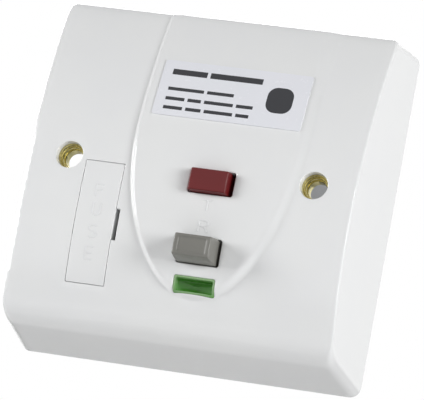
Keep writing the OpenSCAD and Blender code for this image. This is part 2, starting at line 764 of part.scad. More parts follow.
module circuit_board() {
    color([0.25, 0.5, 0.3])
    difference() {
        round_block(0, 0, inner_w - 2 * board_gap, inner_h - 2 * board_gap, 1.5, board_front, board_back);
        block(column_x, reset_z, stem + 4 * stem_gap, stem + 4 * stem_gap, board_front - 1, board_back + 1);
        for (a = [-1, 1])
            block(carrier_x, carrier_z + a * (fuse_len - fuse_cap) / 2, tail_w + 0.1, bar_t + 0.1,
                board_front - 1, board_back + 1);
    }
}

// Contact carriage, with a guide pin and a spring for each bridge
pole_z = [line_z, neutral_z];
contact_x = [column_x - pole_span / 2, column_x + pole_span / 2];
guide_pin_r = 1.2;
carriage_mid = (line_z + neutral_z) / 2;
module contact_carriage() {
    color([0.3, 0.32, 0.36])
    union() {
        round_block(column_x, carriage_mid, carriage_w, line_z - neutral_z + 6, 1,
            carriage_front, carriage_back);
        for (z = pole_z) {
            rod_y(column_x, z, guide_pin_r, carriage_back, bridge_back + 0.1);
            rod_y(column_x, z, guide_pin_r + 0.7, bridge_back + 0.1, bridge_back + 1);
        }
    }
}
module bridge(z) {
    color([0.78, 0.5, 0.34])
    difference() {
        round_block(column_x, z, pole_span + 2 * tip_r + 1, bridge_w, 0.8, bridge_front, bridge_back);
        rod_y(column_x, z, guide_pin_r + 0.1, bridge_front - 1, bridge_back + 1);
    }
}
module line_bridge() {
    bridge(line_z);
}
module neutral_bridge() {
    bridge(neutral_z);
}
module moving_contacts() {
    color([0.85, 0.85, 0.88])
    for (x = contact_x, z = pole_z) rod_y(x, z, tip_r, bridge_back, moving_tip);
}
module fixed_contacts() {
    color([0.85, 0.85, 0.88])
    for (x = contact_x, z = pole_z) rod_y(x, z, tip_r, fixed_tip, bar_front);
}
module contact_springs() {
    color([0.7, 0.7, 0.72])
    for (z = pole_z) coil_spring(column_x, z, 2.2, 0.4, carriage_back, bridge_front, 5);
}

// Flat bars, all in one plane behind the contacts, apart from the crossing ones
bar = [bar_w, bar_t, bar_w];
feed_z = ring_z + ring_len / 2 + 5.5;
cross_y = bar_back + terminal_d / 2 + 0.3;
earth_y = floor_y - bar_t / 2 - 1.2;
earth_x = -11;
module line_feed_bar() {
    color([0.78, 0.5, 0.34])
    run([[-terminal_x, bar_mid, terminal_z], [-terminal_x, bar_mid, feed_z],
         [contact_x[0], bar_mid, feed_z], [contact_x[0], bar_mid, line_z]], bar);
}
module neutral_feed_bar() {
    color([0.78, 0.5, 0.34])
    run([[terminal_x, bar_mid, terminal_z], [terminal_x, bar_mid, feed_z],
         [-contact_x[0], bar_mid, feed_z], [-contact_x[0], bar_mid, neutral_z + 5],
         [contact_x[0], bar_mid, neutral_z + 5], [contact_x[0], bar_mid, neutral_z]], bar);
}
fuse_top_z = carrier_z + (fuse_len - fuse_cap) / 2;
module line_load_bar() {
    color([0.78, 0.5, 0.34])
    run([[contact_x[1], bar_mid, line_z], [contact_x[1], cross_y, line_z],
         [carrier_x, cross_y, line_z], [carrier_x, cross_y, fuse_top_z],
         [carrier_x, bar_mid, fuse_top_z]], [bar_w, bar_t, bar_w]);
}
module neutral_load_bar() {
    color([0.78, 0.5, 0.34])
    run([[contact_x[1], bar_mid, neutral_z], [terminal_x, bar_mid, neutral_z],
         [terminal_x, bar_mid, -terminal_z]], bar);
}
module earth_bar() {
    color([0.8, 0.66, 0.3])
    run([[-terminal_w / 2 - bar_w / 2, earth_y, terminal_z], [earth_x, earth_y, terminal_z],
         [earth_x, earth_y, -terminal_z], [-terminal_w / 2 - bar_w / 2, earth_y, -terminal_z]], bar);
}

// A brass block with a bore for the wire and a screw from the back
module terminal() {
    color([0.8, 0.66, 0.3])
    difference() {
        block(0, 0, terminal_w, terminal_h, bar_back, floor_y);
        rod_z(0, bar_back + terminal_d / 2, wire_bore / 2, -terminal_h, terminal_h);
        rod_y(0, 0, clamp_screw_d / 2 + 0.03, bar_back + terminal_d / 2, floor_y + 1);
    }
}
module line_in_terminal() {
    translate([-terminal_x, 0, terminal_z]) terminal();
}
module neutral_in_terminal() {
    translate([terminal_x, 0, terminal_z]) terminal();
}
module line_out_terminal() {
    translate([-terminal_x, 0, -terminal_z]) terminal();
}
module neutral_out_terminal() {
    translate([terminal_x, 0, -terminal_z]) terminal();
}
module earth_terminals() {
    for (a = [-1, 1]) translate([0, 0, a * terminal_z]) terminal();
}
module terminal_screws() {
    color([0.75, 0.72, 0.6])
    at_terminals() difference() {
        union() {
            rod_y(0, 0, clamp_screw_d / 2, bar_back + terminal_d / 2 + wire_bore / 2, floor_y);
            rod_y(0, 0, clamp_head_d / 2, floor_y, housing_rear - 0.1);
        }
        block(0, 0, 0.8, clamp_head_d + 1, housing_rear - 1, housing_rear + 1);
    }
}

// Current transformer, with both feed bars through its ring
winding_t = 0.6;
module ring_section(r0, r1, half) {
    translate([0, bar_mid, ring_z]) rotate_extrude($fn = 64)
        translate([r0, -half]) square([r1 - r0, 2 * half]);
}
module transformer_core() {
    color([0.4, 0.4, 0.42])
    ring_section(ring_bore / 2 + winding_t, ring_d / 2 - winding_t, ring_len / 2 - winding_t);
}
module transformer_winding() {
    color([0.72, 0.42, 0.25])
    difference() {
        ring_section(ring_bore / 2, ring_d / 2, ring_len / 2);
        ring_section(ring_bore / 2 + winding_t, ring_d / 2 - winding_t, ring_len / 2 - winding_t);
    }
}

// Solenoid, on the back of the board
flange_t = 0.8;
plunger_gap = 0.1;
spool_r = plunger_d / 2 + plunger_gap + 0.8;
plunger_tip = coil_z - yoke_t - 2;
module solenoid_bobbin() {
    color([0.88, 0.86, 0.8])
    difference() {
        union() {
            for (z = [coil_z, coil_z + coil_len - flange_t])
                rod_z(coil_x, coil_y, coil_d / 2 + 0.4, z, z + flange_t);
            rod_z(coil_x, coil_y, spool_r, coil_z, coil_z + coil_len);
        }
        rod_z(coil_x, coil_y, plunger_d / 2 + plunger_gap, coil_z - 1, coil_z + coil_len + 1);
    }
}
module solenoid_coil() {
    color([0.72, 0.42, 0.25])
    difference() {
        rod_z(coil_x, coil_y, coil_d / 2, coil_z + flange_t, coil_z + coil_len - flange_t);
        rod_z(coil_x, coil_y, spool_r, coil_z, coil_z + coil_len);
    }
}
module solenoid_yoke() {
    color([0.6, 0.6, 0.62])
    difference() {
        union() {
            block(coil_x, coil_z + coil_len / 2, coil_d, coil_len, board_back, board_back + yoke_t);
            for (z = [coil_z - yoke_t, coil_z + coil_len]) span([coil_x - coil_d / 2, coil_x + coil_d / 2],
                [board_back, coil_y + coil_d / 2 - 1], [z, z + yoke_t]);
        }
        rod_z(coil_x, coil_y, plunger_d / 2 + 0.2, coil_z - yoke_t - 1, coil_z + 1);
    }
}
module trip_plunger() {
    color([0.65, 0.65, 0.68])
    rod_z(coil_x, coil_y, plunger_d / 2, plunger_tip, coil_z + coil_len - plunger_travel - 1);
}

// Trip latch: a lever that the plunger tips
lever_arm = 1.5;
lever_web = 1.6;
lever_len = 8;
hook_t = 1.2;
hook_reach = 2.4;
lever_eye_r = 1.8;
lever_fit = 0.06;
toe_t = 1.1;
toe_y = coil_y - plunger_d / 2 - 0.1;
module latch_lever() {
    side = [latch_x - lever_t / 2, latch_x + lever_t / 2];
    color([0.6, 0.6, 0.62])
    difference() {
        union() {
            rod_x(latch_y, latch_z, lever_eye_r, side[0], side[1]);
            span(side, [toe_y, latch_y], [latch_z + lever_arm - toe_t, latch_z + lever_arm]);
            span(side, [latch_y - lever_web / 2, latch_y + lever_web / 2], [latch_z - lever_len, latch_z]);
            span(side, [latch_y - hook_reach, latch_y], [latch_z - lever_len, latch_z - lever_len + hook_t]);
        }
        rod_x(latch_y, latch_z, pin_r + lever_fit, side[0] - 1, side[1] + 1);
    }
}
module latch_pin() {
    color([0.7, 0.7, 0.72])
    rod_x(latch_y, latch_z, pin_r, latch_x - lever_t / 2 - 0.4, latch_x + lever_t / 2 + 2.9);
}

// Electronic parts on the front of the board
lead_r = 0.3;
chip_at = [-4, 16];
chip_w = 9;
chip_h = 5;
chip_rise = 2.2;
chip_pitch = 1.27;
chip_leg = [0.45, 0.9];
chip_leg_z = (chip_h + chip_leg[1] - 0.1) / 2;
module control_chip() {
    color([0.15, 0.15, 0.17])
    union() {
        block(chip_at[0], chip_at[1], chip_w, chip_h, board_front - chip_rise, board_front - lead_r);
        for (k = [-3 : 3], a = [-1, 1]) block(chip_at[0] + k * chip_pitch, chip_at[1] + a * chip_leg_z,
            chip_leg[0], chip_leg[1], board_front - chip_rise / 2, board_front);
    }
}
capacitor_at = [13, 18];
capacitor_r = 4;
capacitor_rise = 10;
capacitor_stand = 0.5;
capacitor_pitch = 3.6;
module capacitor() {
    color([0.2, 0.25, 0.45])
    union() {
        rod_y(capacitor_at[0], capacitor_at[1], capacitor_r,
            board_front - capacitor_rise, board_front - capacitor_stand);
        for (a = [-1, 1]) rod_y(capacitor_at[0] + a * capacitor_pitch / 2, capacitor_at[1], lead_r,
            board_front - capacitor_stand - eps, board_front);
    }
}
varistor_at = [-16, 22];
varistor_r = 4.5;
varistor_t = 3;
varistor_stand = 1;
varistor_pitch = 5;
module varistor() {
    color([0.2, 0.35, 0.6])
    union() {
        rod_x(board_front - varistor_r - varistor_stand, varistor_at[1], varistor_r,
            varistor_at[0] - varistor_t / 2, varistor_at[0] + varistor_t / 2);
        for (a = [-1, 1]) rod_y(varistor_at[0], varistor_at[1] + a * varistor_pitch / 2, lead_r,
            board_front - varistor_stand - varistor_r / 2, board_front);
    }
}
resistor_z = 7;
resistor_r = 1.2;
resistor_x = [3, 10];
resistor_lead = 1.5;
resistor_y = board_front - resistor_r - 0.4;
module test_resistor() {
    color([0.8, 0.72, 0.55])
    union() {
        rod_x(resistor_y, resistor_z, resistor_r, resistor_x[0], resistor_x[1]);
        rod_x(resistor_y, resistor_z, lead_r, resistor_x[0] - resistor_lead, resistor_x[1] + resistor_lead);
        for (x = [resistor_x[0] - resistor_lead, resistor_x[1] + resistor_lead])
            rod_y(x, resistor_z, lead_r, resistor_y - lead_r, board_front);
    }
}

front_plate();
fixing_eyelets();
rating_label();
test_button();
reset_button();
indicator_window();
indicator_drum();
fuse_carrier();
fuse_tube();
fuse_caps();
fuse_clip_upper();
fuse_clip_lower();
rear_housing();
housing_screws();
circuit_board();
button_frame();
test_spring();
reset_spring();
test_leaf();
contact_carriage();
line_bridge();
neutral_bridge();
moving_contacts();
fixed_contacts();
contact_springs();
line_feed_bar();
neutral_feed_bar();
line_load_bar();
neutral_load_bar();
earth_bar();
line_in_terminal();
neutral_in_terminal();
line_out_terminal();
neutral_out_terminal();
earth_terminals();
terminal_screws();
transformer_core();
transformer_winding();
solenoid_bobbin();
solenoid_coil();
solenoid_yoke();
trip_plunger();
latch_lever();
latch_pin();
control_chip();
capacitor();
varistor();
test_resistor();
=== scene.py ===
"""Looks of a fused spur with a residual current device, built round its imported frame.

Sizes are in millimetres in the frame's own axes: X to the right, Y into the wall, Z up.
Meshes are written in metres.
"""

import json
import logging
import math
from dataclasses import dataclass, field
from enum import Enum
from typing import Callable, Sequence

import bmesh
import bpy
import numpy as np
from mathutils import Matrix, Vector
from mathutils.geometry import delaunay_2d_cdt


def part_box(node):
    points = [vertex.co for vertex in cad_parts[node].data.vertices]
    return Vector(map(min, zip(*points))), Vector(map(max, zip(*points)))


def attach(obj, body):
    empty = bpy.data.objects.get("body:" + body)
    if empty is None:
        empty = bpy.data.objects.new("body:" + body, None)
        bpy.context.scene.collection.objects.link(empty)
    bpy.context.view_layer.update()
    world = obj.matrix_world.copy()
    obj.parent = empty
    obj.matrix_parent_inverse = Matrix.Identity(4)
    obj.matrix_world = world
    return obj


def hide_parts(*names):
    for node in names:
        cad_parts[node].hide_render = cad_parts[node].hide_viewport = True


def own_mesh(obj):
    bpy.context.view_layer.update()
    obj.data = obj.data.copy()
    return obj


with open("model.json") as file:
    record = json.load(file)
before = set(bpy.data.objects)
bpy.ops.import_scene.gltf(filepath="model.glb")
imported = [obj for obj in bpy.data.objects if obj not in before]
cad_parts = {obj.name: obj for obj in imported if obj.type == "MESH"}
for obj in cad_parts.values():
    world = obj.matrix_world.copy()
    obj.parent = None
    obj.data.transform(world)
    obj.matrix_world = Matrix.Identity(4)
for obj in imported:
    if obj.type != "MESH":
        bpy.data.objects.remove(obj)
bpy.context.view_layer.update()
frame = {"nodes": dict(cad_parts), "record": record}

LOG = logging.getLogger("fused_spur")
MM = 0.001
ROOT_BODY = "housing"
COLUMN_X, TEST_Z, RESET_Z, WINDOW_Z = 6.1, -2.7, -19.4, -27.5
CARRIER_X, CARRIER_Z = -20.8, -15.5
FIXING_X = 30.15
POST_X, SCREW_Z = 31.0, 25.0
TERMINAL_X = (-17.0, 0.0, 17.0)
WHITE = (1.0, 1.0, 1.0, 1.0)
HeightMap = Callable[[np.ndarray], np.ndarray]
Inputs = dict[str | int, object]


def linear(red: int, green: int, blue: int) -> tuple[float, float, float, float]:
    """Turns a colour as a screen shows it into the renderer's linear one.

    Args:
        red: Red, from 0 to 255.
        green: Green, from 0 to 255.
        blue: Blue, from 0 to 255.

    Returns:
        Linear red, green, blue and an alpha of 1.
    """
    parts = [value / 255 for value in (red, green, blue)]
    out = [v / 12.92 if v <= 0.04045 else ((v + 0.055) / 1.055) ** 2.4 for v in parts]
    return (out[0], out[1], out[2], 1.0)


def smooth_step(value: np.ndarray) -> np.ndarray:
    """Eases a value from 0 to 1 with level ends."""
    t = np.clip(value, 0.0, 1.0)
    return t * t * (3 - 2 * t)


class NodeWriter:
    """Adds nodes to a tree, sets their properties and feeds their sockets."""

    def __init__(self, tree: bpy.types.NodeTree) -> None:
        """Takes the tree to write in."""
        self.tree = tree

    def link(self, source: bpy.types.NodeSocket, target: bpy.types.NodeSocket) -> None:
        """Joins two sockets."""
        self.tree.links.new(source, target)

    def feed(self, made: bpy.types.Node, inputs: Inputs) -> None:
        """Feeds a node's inputs, each with a socket or a value."""
        for key, value in inputs.items():
            if isinstance(value, bpy.types.NodeSocket):
                self.link(value, made.inputs[key])
            else:
                made.inputs[key].default_value = value

    def node(self, kind: str, inputs: Inputs | None = None, **values: object) -> bpy.types.Node:
        """Adds a node.

        Args:
            kind: Type name of the node.
            inputs: Sockets or values by the name or number of the input.
            values: Properties of the node.

        Returns:
            The new node.
        """
        made = self.tree.nodes.new(kind)
        for key, value in values.items():
            setattr(made, key, value)
        self.feed(made, inputs or {})
        return made

    def out(self, kind: str, inputs: Inputs | None = None, **values: object) -> bpy.types.NodeSocket:
        """Adds a node as above and gives its first output."""
        return self.node(kind, inputs, **values).outputs[0]


class NodePen(NodeWriter):
    """Writes the nodes of one material."""

    def __init__(self, name: str) -> None:
        """Starts a material with one principled shader."""
        self.material = bpy.data.materials.new(name)
        self.material.use_nodes = True
        super().__init__(self.material.node_tree)
        self.shader = self.tree.nodes["Principled BSDF"]

    def shade(self, **inputs: object) -> None:
        """Feeds the shader, with an underscore for each space in an input's name."""
        self.feed(self.shader, {name.replace("_", " "): value for name, value in inputs.items()})

    def place(self, scale: tuple[float, float, float] = (1, 1, 1),
              shift: tuple[float, float, float] = (0, 0, 0)) -> bpy.types.NodeSocket:
        """Gives object coordinates through a mapping node.

        Args:
            scale: Scale on each axis.
            shift: Shift on each axis, in metres.

        Returns:
            The mapped vector.
        """
        source = self.node("ShaderNodeTexCoord").outputs["Object"]
        mapping = self.node("ShaderNodeMapping", {"Vector": source, "Scale": scale, "Location": shift})
        return mapping.outputs["Vector"]

    def noise(self, vector: bpy.types.NodeSocket, scale: float, detail: float = 3.0) -> bpy.types.NodeSocket:
        """Adds a noise texture and returns its value."""
        made = self.node("ShaderNodeTexNoise", {"Vector": vector, "Scale": scale, "Detail": detail})
        return made.outputs["Fac"]

    def ramp(self, value: bpy.types.NodeSocket, stops: Sequence[tuple[float, tuple]]) -> bpy.types.NodeSocket:
        """Adds a colour ramp.

        Args:
            value: The value that drives the ramp.
            stops: Pairs of a place and a colour, 0 to 255.

        Returns:
            The ramp's colour.
        """
        made = self.node("ShaderNodeValToRGB", {"Fac": value})
        points = made.color_ramp.elements
        while len(points) < len(stops):
            points.new(0.5)
        for point, (place, colour) in zip(points, stops):
            point.position, point.color = place, linear(*colour)
        return made.outputs["Color"]

    def span(self, value: bpy.types.NodeSocket, low: float, high: float) -> bpy.types.NodeSocket:
        """Maps a value of 0 to 1 onto a span."""
        made = self.node("ShaderNodeMapRange", {"Value": value, "To Min": low, "To Max": high})
        return made.outputs["Result"]

    def math(self, kind: str, first: object, second: object) -> bpy.types.NodeSocket:
        """Works out one operation on two sockets or numbers."""
        return self.node("ShaderNodeMath", {0: first, 1: second}, operation=kind).outputs["Value"]

    def bump(self, height: bpy.types.NodeSocket, depth_mm: float, strength: float = 1.0) -> None:
        """Feeds a height into the shader's normal.

        Args:
            height: Height of 0 to 1.
            depth_mm: Depth of the full height.
            strength: Strength of the effect.
        """
        made = self.node("ShaderNodeBump",
                         {"Distance": depth_mm * MM, "Strength": strength, "Height": height})
        self.shade(Normal=made.outputs["Normal"])


@dataclass(frozen=True)
class MouldedFinish:
    """A moulded plastic: two near colours in soft clouds and a faint skin.

    Attributes:
        name: Name of the material.
        base: Main colour, 0 to 255.
        cloud: Second colour, 0 to 255.
        roughness: Lowest and highest roughness.
        grain_mm: Depth of the skin's texture.
        grain_scale: Scale of that texture.
        coat: Weight of the clear gloss.
    """

    name: str
    base: tuple[int, int, int]
    cloud: tuple[int, int, int]
    roughness: tuple[float, float] = (0.3, 0.4)
    grain_mm: float = 0.01
    grain_scale: float = 1400
    coat: float = 0.0

    def make(self) -> bpy.types.Material:
        """Builds the material."""
        pen = NodePen(self.name)
        vector = pen.place()
        cloud = pen.noise(vector, 60, 2)
        skin = pen.noise(vector, self.grain_scale, 2)
        pen.shade(Base_Color=pen.ramp(cloud, [(0.35, self.base), (0.75, self.cloud)]),
                  Roughness=pen.span(skin, *self.roughness), Coat_Weight=self.coat, Coat_Roughness=0.08)
        pen.bump(skin, self.grain_mm, 0.4)
        return pen.material


@dataclass(frozen=True)
class MetalFinish:
    """A metal, turned, drawn or plated.

    Attributes:
        name: Name of the material.
        base: Main colour, 0 to 255.
        shade: Colour of its duller places, 0 to 255.
        roughness: Lowest and highest roughness.
        grain: Scale of the drawn lines on each axis.
    """

    name: str
    base: tuple[int, int, int]
    shade: tuple[int, int, int]
    roughness: tuple[float, float] = (0.2, 0.35)
    grain: tuple[float, float, float] = (300, 3000, 300)

    def make(self) -> bpy.types.Material:
        """Builds the material."""
        pen = NodePen(self.name)
        lines = pen.noise(pen.place(self.grain), 1.0, 3)
        cloud = pen.noise(pen.place(), 220, 3)
        pen.shade(Base_Color=pen.ramp(cloud, [(0.35, self.base), (0.75, self.shade)]),
                  Roughness=pen.span(lines, *self.roughness), Metallic=1.0)
        pen.bump(lines, 0.006, 0.35)
        return pen.material


@dataclass(frozen=True)
class WoundFinish:
    """Enamelled wire, laid in even turns.

    Attributes:
        name: Name of the material.
        wire: Colour of the wire, 0 to 255.
        painted_groove_shade: Painted shade between the turns, a dark colour, 0 to 255.
        along: Axis that the turns follow each other on.
        pitch_mm: Distance between turns.
    """

    name: str
    wire: tuple[int, int, int]
    painted_groove_shade: tuple[int, int, int]
    along: str = "Z"
    pitch_mm: float = 0.3

    def make(self) -> bpy.types.Material:
        """Builds the material."""
        pen = NodePen(self.name)
        scale = math.pi / (10 * self.pitch_mm * MM)
        wave = pen.node("ShaderNodeTexWave", {"Scale": scale, "Distortion": 0.2, "Vector": pen.place()},
                        wave_type="BANDS", bands_direction=self.along)
        turns = wave.outputs["Fac"]
        # The dark end of this ramp is painted shade in the grooves between the turns.
        pen.shade(Base_Color=pen.ramp(turns, [(0.1, self.painted_groove_shade), (0.6, self.wire)]),
                  Roughness=pen.span(turns, 0.45, 0.25), Metallic=0.6)
        pen.bump(turns, 0.08, 0.8)
        return pen.material


@dataclass(frozen=True)
class BoardFinish:
    """Green laminate with a faint weave and copper tracks under the resist."""

    name: str = "board_laminate"
    resist: tuple[int, int, int] = (30, 92, 52)
    track: tuple[int, int, int] = (58, 126, 66)

    def make(self) -> bpy.types.Material:
        """Builds the material."""
        pen = NodePen(self.name)
        cells = pen.node("ShaderNodeTexVoronoi", {"Scale": 260, "Randomness": 0.6, "Vector": pen.place()},
                         distance="MANHATTAN", feature="DISTANCE_TO_EDGE")
        tracks = pen.ramp(cells.outputs["Distance"], [(0.1, self.resist), (0.14, self.track)])
        weave = pen.noise(pen.place((900, 900, 2500)), 1.0, 2)
        pen.shade(Base_Color=tracks, Roughness=pen.span(weave, 0.3, 0.5))
        pen.bump(weave, 0.02, 0.4)
        return pen.material


@dataclass(frozen=True)
class LensFinish:
    """Tinted clear plastic: pale at its thin rim and deeper towards the floor."""

    name: str = "lens_green"
    rim: tuple[int, int, int] = (172, 212, 156)
    wall: tuple[int, int, int] = (126, 190, 104)
    floor: tuple[int, int, int] = (92, 178, 58)
    rim_y: float = -31.4
    floor_y: float = -28.45

    def make(self) -> bpy.types.Material:
        """Builds the material."""
        pen = NodePen(self.name)
        parts = pen.node("ShaderNodeSeparateXYZ", {"Vector": pen.place(shift=(0, -self.rim_y * MM, 0))})
        depth = pen.math("MULTIPLY", parts.outputs["Y"], 1000 / (self.floor_y - self.rim_y))
        skin = pen.noise(pen.place(), 900, 2)
        pen.shade(Base_Color=pen.ramp(depth, [(0.0, self.rim), (0.5, self.wall), (0.97, self.floor)]),
                  Roughness=pen.span(skin, 0.1, 0.18), Transmission_Weight=0.35, IOR=1.5)
        pen.bump(skin, 0.003, 0.4)
        return pen.material


@dataclass(frozen=True)
class FlagFinish:
    """Drum faces: green where the front is at rest and red a quarter turn above it."""

    name: str = "flag_faces"
    green: tuple[int, int, int] = (60, 150, 62)
    red: tuple[int, int, int] = (178, 30, 34)
    axis_yz: tuple[float, float] = (-22.2398, -27.9)

    def make(self) -> bpy.types.Material:
        """Builds the material."""
        pen = NodePen(self.name)
        vector = pen.place(shift=(0, -self.axis_yz[0] * MM, -self.axis_yz[1] * MM))
        parts = pen.node("ShaderNodeSeparateXYZ", {"Vector": vector})
        lean = pen.math("ADD", parts.outputs["Y"], parts.outputs["Z"])
        share = pen.math("MULTIPLY_ADD", lean, 4000)
        skin = pen.noise(pen.place(), 1500, 2)
        pen.shade(Base_Color=pen.ramp(share, [(0.45, self.green), (0.55, self.red)]),
                  Roughness=pen.span(skin, 0.35, 0.5))
        pen.bump(skin, 0.01, 0.3)
        return pen.material


class Finish(Enum):
    """The finishes of the unit, each named for what it is on."""

    PLATE = MouldedFinish("plate_white", (240, 241, 241), (238, 239, 240), (0.16, 0.22), 0.004, 700, 0.3)
    BRASS = MetalFinish("turned_brass", (226, 216, 152), (172, 158, 96), (0.14, 0.28), (300, 6000, 300))
    LABEL = MouldedFinish("label_film", (240, 241, 247), (237, 239, 245), (0.22, 0.3), 0.002, 900)
    RED = MouldedFinish("test_red", (98, 4, 8), (88, 3, 7), (0.46, 0.58), 0.01, 1600)
    GREY = MouldedFinish("reset_grey", (126, 125, 119), (119, 118, 113), (0.34, 0.46), 0.01, 1800)
    LENS = LensFinish()
    FLAG = FlagFinish()
    CERAMIC = MouldedFinish("fuse_ceramic", (228, 222, 206), (216, 208, 190), (0.4, 0.6), 0.02, 2200)
    CAPS = MetalFinish("fuse_caps", (206, 204, 196), (180, 176, 168), (0.18, 0.3), (300, 300, 4000))
    CLIP = MetalFinish("clip_brass", (214, 184, 108), (184, 150, 82), (0.25, 0.4))
    HOUSING = MouldedFinish("housing_grey", (218, 220, 222), (210, 212, 215), (0.4, 0.52), 0.02, 1500)
    STEEL = MetalFinish("plated_steel", (190, 190, 194), (160, 160, 166), (0.2, 0.36), (900, 900, 900))
    BOARD = BoardFinish()
    CARRIAGE = MouldedFinish("carriage_dark", (66, 70, 80), (58, 62, 72), (0.4, 0.5), 0.015, 1500)
    COPPER = MetalFinish("strip_copper", (206, 132, 96), (176, 104, 72), (0.25, 0.4))
    SILVER = MetalFinish("tip_silver", (222, 222, 226), (196, 196, 202), (0.2, 0.34), (900, 900, 900))
    CORE = MouldedFinish("core_coating", (92, 92, 98), (80, 80, 86), (0.45, 0.6), 0.03, 1100)
    # Each winding's second colour is painted shade between its turns.
    WINDING = WoundFinish("ring_winding", (176, 92, 44), (70, 30, 14), "Z", 0.5)
    COIL = WoundFinish("coil_winding", (182, 96, 46), (72, 30, 14), "Z", 0.25)
    BOBBIN = MouldedFinish("bobbin_nylon", (222, 214, 192), (214, 205, 182), (0.4, 0.5), 0.015, 1500)
    CHIP = MouldedFinish("chip_resin", (30, 30, 33), (38, 38, 41), (0.45, 0.6), 0.02, 2400)
    CAPACITOR = MouldedFinish("capacitor_sleeve", (36, 48, 98), (30, 42, 88), (0.2, 0.32), 0.006, 900)
    VARISTOR = MouldedFinish("varistor_resin", (40, 80, 140), (34, 70, 128), (0.4, 0.55), 0.04, 700)
    RESISTOR = MouldedFinish("resistor_coat", (196, 168, 120), (184, 154, 106), (0.35, 0.5), 0.02, 1200)
    MARK = MouldedFinish("raised_mark", (238, 239, 240), (236, 237, 238), (0.16, 0.24), 0.002, 700, 0.3)
    INK = MouldedFinish("print_ink", (40, 41, 46), (34, 35, 40), (0.4, 0.5), 0.002, 900)

    def material(self) -> bpy.types.Material:
        """Gives the finish's material, made once."""
        return bpy.data.materials.get(self.value.name) or self.value.make()


SLOT_FINISH = {
    "plate": Finish.PLATE, "brass": Finish.BRASS, "label": Finish.LABEL,
    "red_plastic": Finish.RED, "grey_plastic": Finish.GREY, "green_lens": Finish.LENS,
    "flag": Finish.FLAG, "ceramic": Finish.CERAMIC, "caps": Finish.CAPS,
    "clip_metal": Finish.CLIP, "housing": Finish.HOUSING, "steel": Finish.STEEL,
    "board": Finish.BOARD, "carriage": Finish.CARRIAGE, "copper": Finish.COPPER,
    "silver": Finish.SILVER, "core": Finish.CORE, "winding": Finish.WINDING,
    "bobbin": Finish.BOBBIN, "chip": Finish.CHIP, "capacitor": Finish.CAPACITOR,
    "varistor": Finish.VARISTOR, "resistor": Finish.RESISTOR,
}


def at_depth(loop: np.ndarray, y: float | np.ndarray) -> np.ndarray:
    """Gives a flat loop one Y, or one for each point."""
    return np.insert(loop, 1, y, axis=1)


def with_depth(loop: np.ndarray, depth: HeightMap) -> np.ndarray:
    """Gives a flat loop its Y from a depth map."""
    return at_depth(loop, depth(loop))


def new_object(name: str, data: bpy.types.ID) -> bpy.types.Object:
    """Makes an object of its data and links it to the scene."""
    made = bpy.data.objects.new(name, data)
    bpy.context.scene.collection.objects.link(made)
    return made


def finish_object(mesh: bmesh.types.BMesh, name: str, finish: Finish, weld: float = 1e-7) -> bpy.types.Object:
    """Closes a mesh and makes it an object at the origin.

    Args:
        mesh: The mesh, in metres. It is freed.
        name: Name of the object.
        finish: Its finish.
        weld: Distance under which points are merged.

    Returns:
        The new object, linked to the scene.
    """
    bmesh.ops.remove_doubles(mesh, verts=mesh.verts, dist=weld)
    bmesh.ops.dissolve_degenerate(mesh, edges=mesh.edges, dist=weld)
    bmesh.ops.recalc_face_normals(mesh, faces=mesh.faces)
    for face in mesh.faces:
        face.smooth = True
    for edge in mesh.edges:
        if len(edge.link_faces) == 2 and edge.calc_face_angle(0) > math.radians(38):
            edge.smooth = False
    data = bpy.data.meshes.new(name)
    mesh.to_mesh(data)
    mesh.free()
    data.materials.append(finish.material())
    return new_object(name, data)


def place_on(piece: bpy.types.Object, body: str, *nodes: str, slot: str = "") -> None:
    """Hands a finished piece to the frame and reports it.

    Args:
        piece: The finished piece.
        body: Body that it moves with.
        nodes: Nodes that it stands for.
        slot: Material slot of the record; not used.
    """
    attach(piece, body)
    if nodes:
        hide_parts(*nodes)
    LOG.info("%s rides on %s with %d faces", piece.name, body, len(piece.data.polygons))


# Outlines in the plane of X and Z, each a closed loop that runs anticlockwise as seen from the front


def even_rect(x: float, z: float, w: float, h: float, r: float, n: int = 5, split: int = 6) -> np.ndarray:
    """Gives a rectangle with round corners that has as many points at every size.

    Args:
        x: Middle on X.
        z: Middle on Z.
        w: Width.
        h: Height.
        r: Corner radius.
        n: Steps in each corner.
        split: Parts of each straight.

    Returns:
        The points, one row each.
    """
    corners = round_rect(x, z, w, h, r, n)
    out = []
    for side in range(4):
        here = corners[side * (n + 1):(side + 1) * (n + 1)]
        after = corners[(side + 1) * (n + 1) % len(corners)]
        out += [*here] + [here[-1] + (after - here[-1]) * k / split for k in range(1, split)]
    return np.array(out)


def round_rect(x: float, z: float, w: float, h: float, r: float, n: int = 6, step: float = 0.0) -> np.ndarray:
    """Gives a rectangle with round corners as points.

    Args:
        x: Middle on X.
        z: Middle on Z.
        w: Width.
        h: Height.
        r: Corner radius.
        n: Steps in each corner.
        step: Largest distance between points on the straights, or 0 for none.

    Returns:
        The points, one row each.
    """
    out = []
    for sx, sz, start in ((1, 1, 0), (-1, 1, 90), (-1, -1, 180), (1, -1, 270)):
        for k in range(n + 1):
            a = math.radians(start + 90 * k / n)
            out.append((x + sx * (w / 2 - r) + r * math.cos(a), z + sz * (h / 2 - r) + r * math.sin(a)))
    return fine_loop(np.array(out), step) if step else np.array(out)


def fine_loop(loop: np.ndarray, step: float) -> np.ndarray:
    """Splits a loop's longer edges.

    Args:
        loop: Points of the loop.
        step: Largest edge that is left.

    Returns:
        The finer loop.
    """
    out = []
    for a, b in zip(loop, np.roll(loop, -1, axis=0)):
        count = max(1, int(math.ceil(np.linalg.norm(b - a) / step)))
        out.extend(a + (b - a) * k / count for k in range(count))
    return np.array(out)


def circle(x: float, z: float, r: float, n: int = 48) -> np.ndarray:
    """Gives a circle as points."""
    a = np.linspace(0, 2 * math.pi, n, endpoint=False)
    return np.stack([x + r * np.cos(a), z + r * np.sin(a)], axis=1)


